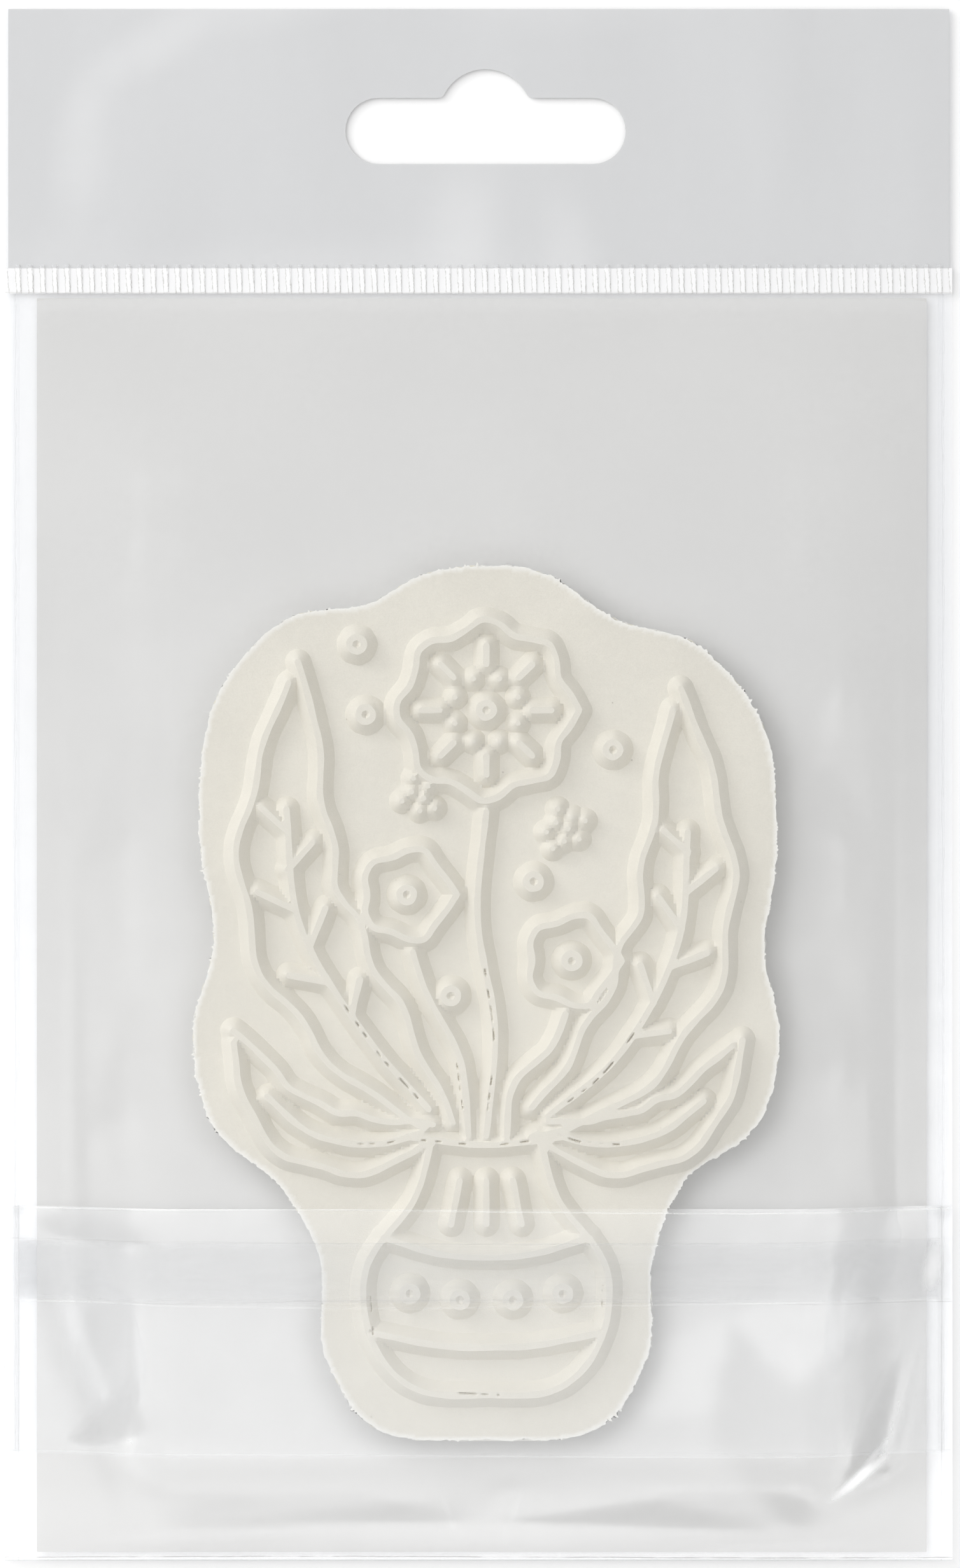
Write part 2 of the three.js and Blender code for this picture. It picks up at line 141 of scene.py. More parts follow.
class ClingStampCushion(bpy.types.PropertyGroup):
    """Foam cushion, bonding sheet and cling skin under the die"""

    foam_color: bpy.props.FloatVectorProperty(
        name="Foam colour", description="White of the foam",
        default=(0.87, 0.86, 0.83), subtype="COLOR",
    )
    skin_color: bpy.props.FloatVectorProperty(
        name="Skin colour", description="Tint of the cling vinyl",
        default=(0.84, 0.86, 0.86), subtype="COLOR",
    )
    pore: bpy.props.FloatProperty(
        name="Pore size", description="Width of a cell of the foam",
        default=0.00035, precision=5, unit="LENGTH", subtype="DISTANCE",
    )


class ClingStampCard(bpy.types.PropertyGroup):
    """The storage card"""

    color: bpy.props.FloatVectorProperty(
        name="Card colour", description="Light warm grey of the board",
        default=(0.648, 0.643, 0.63), subtype="COLOR",
    )
    fibre: bpy.props.FloatProperty(
        name="Fibre size", description="Width of the board's mottling",
        default=0.0006, precision=5, unit="LENGTH", subtype="DISTANCE",
    )


class ClingStampPouch(bpy.types.PropertyGroup):
    """The film pouch with its header"""

    header_color: bpy.props.FloatVectorProperty(
        name="Header colour", description="Light grey of the opaque header",
        default=(0.616, 0.618, 0.62), subtype="COLOR",
    )
    film_haze: bpy.props.FloatProperty(
        name="Film haze", description="Share of light that the film scatters",
        default=0.02, min=0, max=1, subtype="FACTOR",
    )
    film_roughness: bpy.props.FloatProperty(
        name="Film roughness", description="Softness of the film's highlights",
        default=0.16, min=0, max=1, subtype="FACTOR",
    )
    film: bpy.props.FloatProperty(
        name="Film thickness", description="Thickness of the film",
        default=0.00008, precision=6, unit="LENGTH", subtype="DISTANCE",
    )
    pitch: bpy.props.FloatProperty(
        name="Film pitch", description="Distance between the film's points",
        default=0.0008, precision=5, unit="LENGTH", subtype="DISTANCE",
    )
    rib_pitch: bpy.props.FloatProperty(
        name="Rib pitch", description="Distance between the seal's ribs",
        default=0.00145, precision=5, unit="LENGTH", subtype="DISTANCE",
    )


class ClingStampStage(bpy.types.PropertyGroup):
    """Floor, lights and camera"""

    key_strength: bpy.props.FloatProperty(
        name="Key light", description="Brightness of the panel at the upper left",
        default=1.15, min=0,
    )
    rake_strength: bpy.props.FloatProperty(
        name="Raking light", description="Brightness of the low panel at the upper left",
        default=4.4, min=0,
    )
    sheen_strength: bpy.props.FloatProperty(
        name="Sheen panel", description="Brightness of the low panel that the flap mirrors",
        default=1.0, min=0,
    )
    mirrored_room: bpy.props.FloatProperty(
        name="Mirrored room", description="Brightness of the room that film and rubber mirror",
        default=1.4, min=0,
    )
    horizon: bpy.props.FloatProperty(
        name="Mirrored horizon", description="Brightness of the room's low parts in a mirror",
        default=0.88, min=0,
    )
    room_strength: bpy.props.FloatProperty(
        name="Room light", description="Even light from all round",
        default=0.71, min=0,
    )
    lens: bpy.props.FloatProperty(
        name="Lens", description="Focal length of the camera, in millimetres",
        default=150, min=10,
    )
    framed_height: bpy.props.FloatProperty(
        name="Framed height", description="Height that the picture shows",
        default=0.18526, unit="LENGTH", subtype="DISTANCE",
    )


# Node trees: short calls for the nodes that the finishes share


def add(tree, kind, inputs=None, **settings):
    """Add a node with these settings, and set or plug its inputs"""
    node = tree.nodes.new(kind)
    for name, value in settings.items():
        setattr(node, name, value)
    for name, value in (inputs or {}).items():
        if isinstance(value, bpy.types.NodeSocket):
            tree.links.new(value, node.inputs[name])
        else:
            node.inputs[name].default_value = value
    return node


def maths(tree, operation, first, second=0.0, third=0.0, clamp=False):
    """One sum of numbers or sockets"""
    node = add(
        tree, "ShaderNodeMath", {0: first, 1: second, 2: third},
        operation=operation, use_clamp=clamp,
    )
    return node.outputs[0]


def from_to(tree, value, low, high, new_low=0.0, new_high=1.0):
    """A value moved smoothly from one range to another"""
    node = add(
        tree, "ShaderNodeMapRange",
        {"Value": value, "From Min": low, "From Max": high, "To Min": new_low, "To Max": new_high},
        interpolation_type="SMOOTHSTEP",
    )
    return node.outputs["Result"]


def mix_colors(tree, share, first, second):
    """Two colours mixed by a share"""
    node = add(tree, "ShaderNodeMix", {"Factor": share}, data_type="RGBA")
    colors = [socket for socket in node.inputs if socket.type == "RGBA"]
    for socket, value in zip(colors, (first, second)):
        if isinstance(value, bpy.types.NodeSocket):
            tree.links.new(value, socket)
        else:
            socket.default_value = (*value[:3], 1)
    return next(socket for socket in node.outputs if socket.type == "RGBA")


def in_millimetres(tree, stretch=(1, 1, 1), move=(0, 0, 0)):
    """The piece's own coordinates in millimetres, stretched along an axis where asked"""
    coordinates = add(tree, "ShaderNodeTexCoord").outputs["Object"]
    scale = tuple(s / MM for s in stretch)
    node = add(
        tree, "ShaderNodeMapping",
        {"Vector": coordinates, "Scale": scale, "Location": move},
    )
    return node.outputs["Vector"]


def grain(tree, vector, size, detail=2.0, roughness=0.5):
    """Noise with features of this size in millimetres, from 0 to 1"""
    node = add(
        tree, "ShaderNodeTexNoise",
        {"Vector": vector, "Scale": 1 / size, "Detail": detail, "Roughness": roughness},
    )
    return node.outputs["Fac"]


def flat_place(tree):
    """The piece's own places across and along, in millimetres"""
    split = add(tree, "ShaderNodeSeparateXYZ", {0: in_millimetres(tree)})
    return split.outputs["X"], split.outputs["Y"]


def written(tree, name):
    """A number written on the piece's points"""
    return add(tree, "ShaderNodeAttribute", attribute_name=name).outputs["Fac"]


def blended(tree, first, second, share):
    """Two grains in one: this share of the first, the rest of the second"""
    return maths(tree, "MULTIPLY_ADD", first, share, maths(tree, "MULTIPLY", second, 1 - share))


def shades(color, dark, pale):
    """A colour made a little darker, and a little paler"""
    return [c * dark for c in color], [c * pale for c in color]


def bumped(tree, height, distance, strength, under=None):
    """The normals of a fine unevenness, over another where one is given"""
    inputs = {"Height": height, "Distance": distance, "Strength": strength}
    if under is not None:
        inputs["Normal"] = under
    return add(tree, "ShaderNodeBump", inputs).outputs["Normal"]


def finish(name):
    """A new material with an empty node tree"""
    material = bpy.data.materials.new(name)
    material.use_nodes = True
    material.node_tree.nodes.clear()
    return material, material.node_tree


def show(tree, shader):
    """Plug a shader into the material's output"""
    add(tree, "ShaderNodeOutputMaterial", {"Surface": shader})


def show_opaque(tree, color, roughness, normal, **more):
    """Plug in an opaque surface with these inputs"""
    inputs = {"Base Color": color, "Roughness": roughness, "Normal": normal, **more}
    show(tree, add(tree, "ShaderNodeBsdfPrincipled", inputs).outputs["BSDF"])


def dress(piece, material):
    """Give a piece this one material"""
    piece.data.materials.clear()
    piece.data.materials.append(material)


def dress_node(name, material):
    """Give a CAD node this one material, on its object's slot"""
    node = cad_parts[name]
    if not node.material_slots:
        node.data.materials.append(None)
    for slot in node.material_slots:
        slot.link = "OBJECT"
        slot.material = material


# Finishes


def rubber_finish(settings):
    """Matte moulded rubber: cloudy tone, fine mould grain, dust specks, a painted highlight on the
    cut rim
    """
    material, tree = finish("moulded rubber")
    place = in_millimetres(tree)
    mottle = grain(tree, place, 0.9, 4, 0.6)
    tone = blended(tree, grain(tree, place, 9, 3), mottle, 0.6)
    color = mix_colors(tree, from_to(tree, tone, 0.3, 0.7), *shades(settings.color, 0.965, 1.03))
    cells = add(tree, "ShaderNodeTexVoronoi", {"Vector": place, "Scale": 0.22, "Randomness": 1})
    speck = from_to(tree, cells.outputs["Distance"], 0.018, 0.03, 0.45, 0.0)
    color = mix_colors(tree, speck, color, (0.33, 0.29, 0.24))
    mould = grain(tree, place, 0.13, 3, 0.7)
    color = mix_colors(tree, from_to(tree, mould, 0.35, 0.7, 0, 0.15), color, (0.4, 0.37, 0.3))
    # Painted highlight: the trimmed wall and the rim over it are painted pale, for the light on the
    # cut edge
    rim = maths(tree, "MULTIPLY", written(tree, "trimmed"), 0.9)
    color = mix_colors(tree, rim, color, (0.93, 0.92, 0.88))
    fine = bumped(tree, mould, 0.00007, 0.7)
    normal = bumped(tree, grain(tree, place, 1.8, 3), 0.00006, 0.5, fine)
    roughness = from_to(tree, mottle, 0.2, 0.8, 0.56, 0.74)
    show_opaque(tree, color, roughness, normal, **{"Specular IOR Level": 0.32})
    return material


def foam_finish(settings):
    """Closed-cell foam: soft white with fine pores"""
    material, tree = finish("cushion foam")
    place = in_millimetres(tree)
    cells = add(
        tree, "ShaderNodeTexVoronoi",
        {"Vector": place, "Scale": MM / settings.pore, "Randomness": 1},
    )
    pore = from_to(tree, cells.outputs["Distance"], 0.05, 0.6)
    color = mix_colors(tree, pore, *shades(settings.foam_color, 0.8, 1))
    cloud = maths(tree, "MULTIPLY", grain(tree, place, 3, 3), 0.15)
    color = mix_colors(tree, cloud, color, (0.78, 0.76, 0.7))
    roughness = from_to(tree, pore, 0, 1, 0.95, 0.82)
    normal = bumped(tree, pore, 0.00008, 0.8)
    show_opaque(tree, color, roughness, normal, **{"Specular IOR Level": 0.2})
    return material


def skin_finish(settings):
    """Translucent cling vinyl with a smooth face"""
    material, tree = finish("cling vinyl")
    place = in_millimetres(tree)
    cloud = grain(tree, place, 4, 3)
    color = mix_colors(tree, from_to(tree, cloud, 0.3, 0.7), *shades(settings.skin_color, 0.96, 1))
    roughness = from_to(tree, cloud, 0.2, 0.8, 0.14, 0.24)
    normal = bumped(tree, grain(tree, place, 1.4, 2), 0.00002, 0.4)
    depth = {"Subsurface Weight": 0.2, "Subsurface Scale": 0.0004}
    show_opaque(tree, color, roughness, normal, **depth)
    return material


def bond_finish():
    """Bonding sheet: faintly amber adhesive"""
    material, tree = finish("bonding adhesive")
    cloud = grain(tree, in_millimetres(tree), 1.2, 3)
    color = mix_colors(tree, cloud, (0.70, 0.66, 0.54), (0.80, 0.78, 0.70))
    roughness = from_to(tree, cloud, 0.2, 0.8, 0.3, 0.45)
    show_opaque(tree, color, roughness, bumped(tree, cloud, 0.00002, 0.5))
    return material


def card_finish(settings):
    """Uncoated board: fine mottling, pale and dark fibres and a soft tooth"""
    material, tree = finish("card board")
    size = settings.fibre / MM
    place = in_millimetres(tree)
    mottle = grain(tree, place, size, 4, 0.6)
    tone = blended(tree, grain(tree, place, 22, 3), mottle, 0.5)
    color = mix_colors(tree, from_to(tree, tone, 0.35, 0.65), *shades(settings.color, 0.975, 1.025))
    fibres = grain(tree, in_millimetres(tree, (0.25, 2.2, 1)), size, 3, 0.7)
    crossed = grain(tree, in_millimetres(tree, (2.0, 0.3, 1), (7, 3, 0)), size, 3, 0.7)
    color = mix_colors(tree, from_to(tree, fibres, 0.68, 0.76, 0, 0.35), color, (0.82, 0.82, 0.81))
    color = mix_colors(tree, from_to(tree, crossed, 0.7, 0.78, 0, 0.22), color, (0.52, 0.5, 0.47))
    roughness = from_to(tree, mottle, 0.2, 0.8, 0.84, 0.95)
    normal = bumped(tree, grain(tree, place, 0.25, 4, 0.65), 0.00001, 0.5)
    show_opaque(tree, color, roughness, normal, **{"Specular IOR Level": 0.25})
    return material


def header_finish(settings):
    """Opaque grey sheet with a satin face and a faint flow in it"""
    material, tree = finish("header sheet")
    flow = grain(tree, in_millimetres(tree, (1, 0.25, 1)), 14, 3)
    speckle = grain(tree, in_millimetres(tree), 0.35, 3, 0.6)
    tone = from_to(tree, blended(tree, flow, speckle, 0.65), 0.3, 0.7)
    color = mix_colors(tree, tone, *shades(settings.header_color, 0.97, 1.03))
    roughness = from_to(tree, speckle, 0.2, 0.8, 0.34, 0.46)
    normal = bumped(tree, speckle, 0.00001, 0.35)
    show_opaque(tree, color, roughness, normal, **{"Specular IOR Level": 0.45})
    return material


def show_film(tree, haze, roughness, normal, mirrored, color):
    """Plug in clear film: see-through, a thin veil of haze and a gloss that grows at a slant"""
    clear = add(tree, "ShaderNodeBsdfTransparent", {"Color": (0.973, 0.976, 0.981, 1)})
    inputs = {"Roughness": roughness, "Normal": normal}
    body = add(tree, "ShaderNodeBsdfPrincipled", {"Base Color": color, **inputs})
    veil = add(tree, "ShaderNodeMixShader", {0: haze, 1: clear.outputs[0], 2: body.outputs[0]})
    gloss = add(tree, "ShaderNodeBsdfGlossy", {"Color": (1, 1, 1, 1), **inputs})
    facing = add(tree, "ShaderNodeLayerWeight", {"Blend": 0.5, "Normal": normal})
    slant = maths(tree, "POWER", facing.outputs["Facing"], 5)
    shine = maths(tree, "ADD", slant, mirrored, clamp=True)
    film = add(tree, "ShaderNodeMixShader", {0: shine, 1: veil.outputs[0], 2: gloss.outputs[0]})
    show(tree, film.outputs[0])


def wobbly_line(tree, along, across, middle, width, wander, size, seed, sag=0.0):
    """A thin line across one axis that wanders and sags as it runs along the other, from 0 to 1"""
    noise_at = add(tree, "ShaderNodeCombineXYZ", {0: along, 1: seed, 2: middle})
    bend = grain(tree, noise_at.outputs[0], size, 3, 0.6)
    shift = from_to(tree, bend, 0.2, 0.8, -wander, wander)
    if sag:
        wave = maths(tree, "SINE", maths(tree, "MULTIPLY_ADD", along, 0.055, seed))
        shift = maths(tree, "MULTIPLY_ADD", wave, sag, shift)
    off = maths(tree, "SUBTRACT", maths(tree, "ADD", across, shift), middle)
    return from_to(tree, maths(tree, "ABSOLUTE", off), width * 0.35, width, 1, 0)


def with_spots(tree, value, painted_glints):
    """A value with soft ovals added: each a centre, length and width in mm, a turn and a share"""
    for centre, length, width, turn, share in painted_glints:
        coordinates = add(tree, "ShaderNodeTexCoord").outputs["Object"]
        moved = add(
            tree, "ShaderNodeVectorMath",
            {0: coordinates, 1: (centre[0] * MM, centre[1] * MM, 0)}, operation="SUBTRACT",
        )
        turned = add(
            tree, "ShaderNodeMapping",
            {"Vector": moved.outputs[0], "Rotation": (0, 0, -math.radians(turn))},
        )
        shrunk = add(
            tree, "ShaderNodeVectorMath",
            {0: turned.outputs[0], 1: (1 / (length * MM), 1 / (width * MM), 0)},
            operation="MULTIPLY",
        )
        far = add(tree, "ShaderNodeVectorMath", {0: shrunk.outputs[0]}, operation="LENGTH")
        spot = from_to(tree, far.outputs["Value"], 0.1, 1, 1, 0)
        value = maths(tree, "MULTIPLY_ADD", spot, share, value)
    return value


def film_finish(
    settings, name="clear film", haze=1.0, ripple=0.00006, marks=(), sides=(), painted_glints=(),
    painted_sheens=(), mirrored=0.075, gloss=0.0,
):
    """Clear film: ripples, scuffs, whitened creases, thin marks and edges, painted glints and
    sheens
    """
    material, tree = finish(name)
    x, y = flat_place(tree)
    scuffs = grain(tree, in_millimetres(tree, (0.12, 1.4, 1)), 0.5, 3, 0.6)
    # free: painted reflection, a whiter veil and a stronger mirror where the film hangs free
    free = written(tree, "free")
    scuffed = from_to(tree, scuffs, 0.66, 0.8, 0, 0.02)
    veil = maths(tree, "ADD", settings.film_haze * haze, scuffed)
    veil = maths(tree, "MULTIPLY_ADD", written(tree, "crease"), 0.22, veil)
    # Painted highlights: the listed ovals whiten the veil
    veil = with_spots(tree, maths(tree, "MULTIPLY_ADD", free, 0.1, veil), painted_glints)
    lines = [
        (wobbly_line(tree, x, y, middle, width, wander, 7, i * 3.7, sag), share, tone)
        for i, (middle, width, wander, sag, share, tone) in enumerate(marks)
    ]
    lines += [
        (wobbly_line(tree, y, x, middle, width, wander, 9, i * 2.3), share, tone)
        for i, (middle, width, wander, share, tone) in enumerate(sides)
    ]
    color = (0.97, 0.972, 0.975, 1)
    for i, (line, share, tone) in enumerate(lines):
        flecks = grain(tree, in_millimetres(tree, (0.3, 0.3, 1), (i * 5, 0, 0)), 1.6, 3, 0.6)
        line = maths(tree, "MULTIPLY", line, from_to(tree, flecks, 0.35, 0.55, 0.45, 1))
        color = mix_colors(tree, line, color, (tone, tone, tone * 0.99))
        veil = maths(tree, "MULTIPLY_ADD", line, share, veil, clamp=True)
    normal = bumped(tree, grain(tree, in_millimetres(tree, (0.35, 1, 1)), 13, 2), ripple, 1.0)
    dull = grain(tree, in_millimetres(tree), 6, 2)
    rough = settings.film_roughness
    roughness = from_to(tree, dull, 0.2, 0.8, rough * 0.8, rough * 1.25)
    # Painted sheen: the listed ovals strengthen the mirror, for highlights of the bright room
    shine = with_spots(tree, maths(tree, "MULTIPLY_ADD", free, gloss, mirrored), painted_sheens)
    show_film(tree, veil, roughness, normal, shine, color)
    return material


def welded_finish(middle):
    """Film fused in a side weld: nearly clear, with a thin wandering line where it is melted"""
    material, tree = finish("welded film")
    across, along = flat_place(tree)
    first = wobbly_line(tree, along, across, middle, 0.045, 0.1, 5, 1.0)
    second = wobbly_line(tree, along, across, middle + 0.14, 0.04, 0.16, 2.2, 9.0)
    flecks = grain(tree, in_millimetres(tree, (1, 0.25, 1)), 0.7, 3, 0.65)
    second = maths(tree, "MULTIPLY", second, from_to(tree, flecks, 0.4, 0.56))
    line = maths(tree, "MAXIMUM", first, second)
    pressed = grain(tree, in_millimetres(tree), 0.4, 3, 0.6)
    haze = maths(tree, "MULTIPLY_ADD", line, 0.15, from_to(tree, pressed, 0.3, 0.7, 0.0, 0.03))
    color = mix_colors(tree, line, (0.95, 0.95, 0.955), (0.3, 0.3, 0.29))
    show_film(tree, haze, 0.25, bumped(tree, pressed, 0.00001, 0.5), 0.03, color)
    return material


def rib_finish(settings):
    """Knurled weld: thin wandering lines where each pressed rib ends"""
    material, tree = finish("knurled weld")
    place = in_millimetres(tree)
    x, y = flat_place(tree)
    wobble = grain(tree, in_millimetres(tree, (1.2, 1, 1), (3, 9, 0)), 0.7, 4, 0.75)
    lean = maths(tree, "MULTIPLY_ADD", y, 0.06, -0.06 * (band_low.y + 1.5))
    along = maths(tree, "ADD", x, from_to(tree, wobble, 0.2, 0.8, -0.1, 0.1))
    along = maths(tree, "ADD", along, lean)
    step = settings.rib_pitch / MM
    side = maths(tree, "WRAP", maths(tree, "ADD", along, step / 2), step / 2, -step / 2)
    side = maths(tree, "ABSOLUTE", side)
    off = maths(tree, "ABSOLUTE", maths(tree, "SUBTRACT", side, 0.27))
    flecks = from_to(tree, grain(tree, place, 0.4, 3, 0.7), 0.36, 0.5, 0.15, 1)
    line = maths(tree, "MULTIPLY", from_to(tree, off, 0.02, 0.075, 1, 0), flecks)
    foot = wobbly_line(tree, x, y, band_low.y + 0.1, 0.07, 0.05, 4, 2.0)
    line = maths(tree, "MAXIMUM", line, maths(tree, "MULTIPLY", foot, 0.6))
    milky = from_to(tree, y, band_low.y + 2.9, band_low.y + 3.1, 0.8, 0.25)
    haze = maths(tree, "MULTIPLY_ADD", from_to(tree, side, 0.2, 0.28, 1, 0), 0.06, milky)
    haze = maths(tree, "MULTIPLY_ADD", line, 0.15, haze, clamp=True)
    color = mix_colors(tree, line, (0.99, 0.99, 0.995), (0.6, 0.595, 0.58))
    normal = bumped(tree, grain(tree, place, 0.3, 3, 0.6), 0.00001, 0.5)
    show_film(tree, haze, 0.25, normal, 0.02, color)
    return material


def strip_finish():
    """Clear adhesive in a strip: drawn streaks and darker borders"""
    material, tree = finish("adhesive strip")
    streaks = grain(tree, in_millimetres(tree, (0.022, 1.5, 1)), 1.1, 4, 0.6)
    broad = grain(tree, in_millimetres(tree, (0.05, 0.6, 1), (5, 1, 0)), 2.4, 3)
    middle = (strip_low.y + strip_high.y) / 2
    reach = (strip_high.y - strip_low.y) / 2
    out = maths(tree, "ABSOLUTE", maths(tree, "SUBTRACT", flat_place(tree)[1], middle))
    border = from_to(tree, out, reach - 0.9, reach - 0.15, 0, 1)
    haze = from_to(tree, blended(tree, broad, streaks, 0.5), 0.35, 0.62, 0.0, 0.05)
    dark = maths(tree, "MULTIPLY", from_to(tree, streaks, 0.45, 0.6), border)
    color = mix_colors(tree, dark, (0.93, 0.93, 0.92), (0.5, 0.49, 0.47))
    haze = maths(tree, "MULTIPLY_ADD", dark, 0.12, haze)
    show_film(tree, haze, 0.3, bumped(tree, streaks, 0.00002, 0.6), 0.01, color)
    return material


# Pieces: from a finished bmesh in millimetres to an object at the origin


def make_piece(name, bm, body, sharp=None):
    """Scale a bmesh in millimetres to metres, and make it a piece that rides on a body"""
    bmesh.ops.scale(bm, vec=(MM, MM, MM), verts=bm.verts)
    mesh = bpy.data.meshes.new(name)
    bm.to_mesh(mesh)
    bm.free()
    piece = bpy.data.objects.new(name, mesh)
    bpy.context.scene.collection.objects.link(piece)
    mesh.shade_smooth()
    if sharp is not None:
        mesh.set_sharp_from_angle(angle=math.radians(sharp))
    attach(piece, body)
    return piece


def write_values(piece, name, values):
    """Write a number on each of a piece's points, for its finish"""
    attribute = piece.data.attributes.new(name, "FLOAT", "POINT")
    attribute.data.foreach_set("value", np.array(values, np.float32))


def flat_grid(low, high, pitch):
    """A flat grid between two corners, with points about this far apart"""
    size = high - low
    place = Matrix.Translation((*(low + high) / 2, 0)) @ Matrix.Diagonal((*size / 2, 1, 1))
    bm = bmesh.new()
    bmesh.ops.create_grid(
        bm, x_segments=math.ceil(size[0] / pitch), y_segments=math.ceil(size[1] / pitch),
        size=1, matrix=place,
    )
    return bm


def wavy(x, y, size, seed=0.0):
    """Smooth noise between about -1 and 1 at a place, with features of this size"""
    return noise.noise(Vector((x / size, y / size, seed)))


# The die's drawing: smooth lines through points in percent of its half width and height

# Distance between a line's points, and length of its straight strokes
line_pitch, stroke_length = 0.12, 2.3
# Radius of a dot, of a ring and its dimple, and the depth and width of a slit
dot_reach = 0.34
ring_reach, dimple_reach = 1.22, 0.5
slit_depth, slit_reach = 0.5, 0.085


class Drawing:
    """Collects the relief's centre lines, dots and dimples, in millimetres"""

    def __init__(self, settings):
        self.half = settings.width / MM / 2
        self.tall = settings.height / MM
        self.lines = []
        self.dots = []
        self.dimples = []
        self.slits = []

    def on_die(self, across, up):
        """A place in percent, in millimetres"""
        return np.array([die_middle + across / 100 * self.half, die_foot + up / 100 * self.tall])

    def through(self, points, closed=False):
        """A smooth line through points in percent"""
        return smooth_line([self.on_die(u, v) for u, v in points], closed)


def spread(points, spacing, more=0):
    """Evenly spaced points along a path"""
    steps = np.linalg.norm(np.diff(points, axis=0), axis=1)
    along = np.concatenate([[0], np.cumsum(steps)])
    wanted = np.linspace(0, along[-1], max(2, round(along[-1] / spacing) + more))
    return np.column_stack([np.interp(wanted, along, points[:, k]) for k in (0, 1)])


def smooth_line(points, closed=False):
    """Evenly spaced points on a centripetal curve through these points"""
    points = [np.asarray(p, float) for p in points]
    count = len(points)
    dense = []
    for i in range(count if closed else count - 1):
        p1, p2 = points[i], points[(i + 1) % count]
        p0 = points[i - 1] if closed or i > 0 else 2 * p1 - p2
        p3 = points[(i + 2) % count] if closed or i + 2 < count else 2 * p2 - p1
        pairs = ((p0, p1), (p1, p2), (p2, p3))
        d0, d1, d2 = (max(np.linalg.norm(b - a), 1e-8) ** 0.5 for a, b in pairs)
        m1 = ((p1 - p0) / d0 - (p2 - p0) / (d0 + d1) + (p2 - p1) / d1) * d1
        m2 = ((p2 - p1) / d1 - (p3 - p1) / (d1 + d2) + (p3 - p2) / d2) * d1
        t = np.linspace(0, 1, 40, endpoint=False)[:, None]
        dense.append(
            p1 * (2 * t**3 - 3 * t**2 + 1) + m1 * (t**3 - 2 * t**2 + t)
            + p2 * (3 * t**2 - 2 * t**3) + m2 * (t**3 - t**2)
        )
    return spread(np.vstack([*dense, points[0 if closed else -1][None]]), line_pitch, 1)


def at(line, t):
    """The place and direction at a share of a line's length"""
    step = t * (len(line) - 1)
    i = min(int(step), len(line) - 2)
    place = line[i] + (line[i + 1] - line[i]) * (step - i)
    low, high = max(i - 2, 0), min(i + 3, len(line) - 1)
    along = line[high] - line[low]
    return place, along / np.linalg.norm(along)


def beside(line, t, out, ahead=0.0):
    """A place at a share of a line's length, set off to its right and ahead"""
    place, along = at(line, t)
    return place + out * np.array([along[1], -along[0]]) + ahead * along


def draw_leaf(drawing, spine, half_leaf, waves, side_veins):
    """A ruffled leaf with its veins"""
    ruffle = half_leaf * 0.13

    def swell(t):
        return max(math.sin(math.pi * t**0.9), 0.0)

    for side, first, last in ((1, 0.02, 1), (-1, 0.05, 0.96)):
        points = []
        for i in range(waves * 4 + 1):
            t = first + (last - first) * i / (waves * 4)
            wave = ruffle * math.sin(2 * math.pi * waves * t) * swell(t)
            points.append(beside(spine, t, side * (half_leaf * swell(t) ** 0.8 + wave)))
        drawing.lines.append(smooth_line(points))
    drawing.lines.append(smooth_line([beside(spine, t, 0) for t in (0.07, 0.25, 0.5, 0.72)]))
    drawing.slits.append(smooth_line([beside(spine, t, 0) for t in (0.1, 0.2, 0.34)]))
    for i in range(side_veins):
        t = 0.3 + 0.38 * i / (side_veins - 1)
        side = 1 if i % 2 == 0 else -1
        reach = half_leaf * swell(t) * 0.62
        drawing.lines.append(
            smooth_line([beside(spine, t, 0), beside(spine, t, side * reach, reach * 0.9)])
        )


def around(place, angle, reach):
    """A place at an angle and distance from another"""
    return place + reach * np.array([math.cos(angle), math.sin(angle)])


def draw_flower(drawing, place, radius, depth, lobes):
    """A closed line of rounded lobes round a ring"""
    turns = [2 * math.pi * i / (lobes * 5) for i in range(lobes * 5)]
    points = [around(place, a, radius + depth * math.cos(lobes * a)) for a in turns]
    drawing.lines.append(smooth_line(points, True))
    drawing.dimples.append(place)


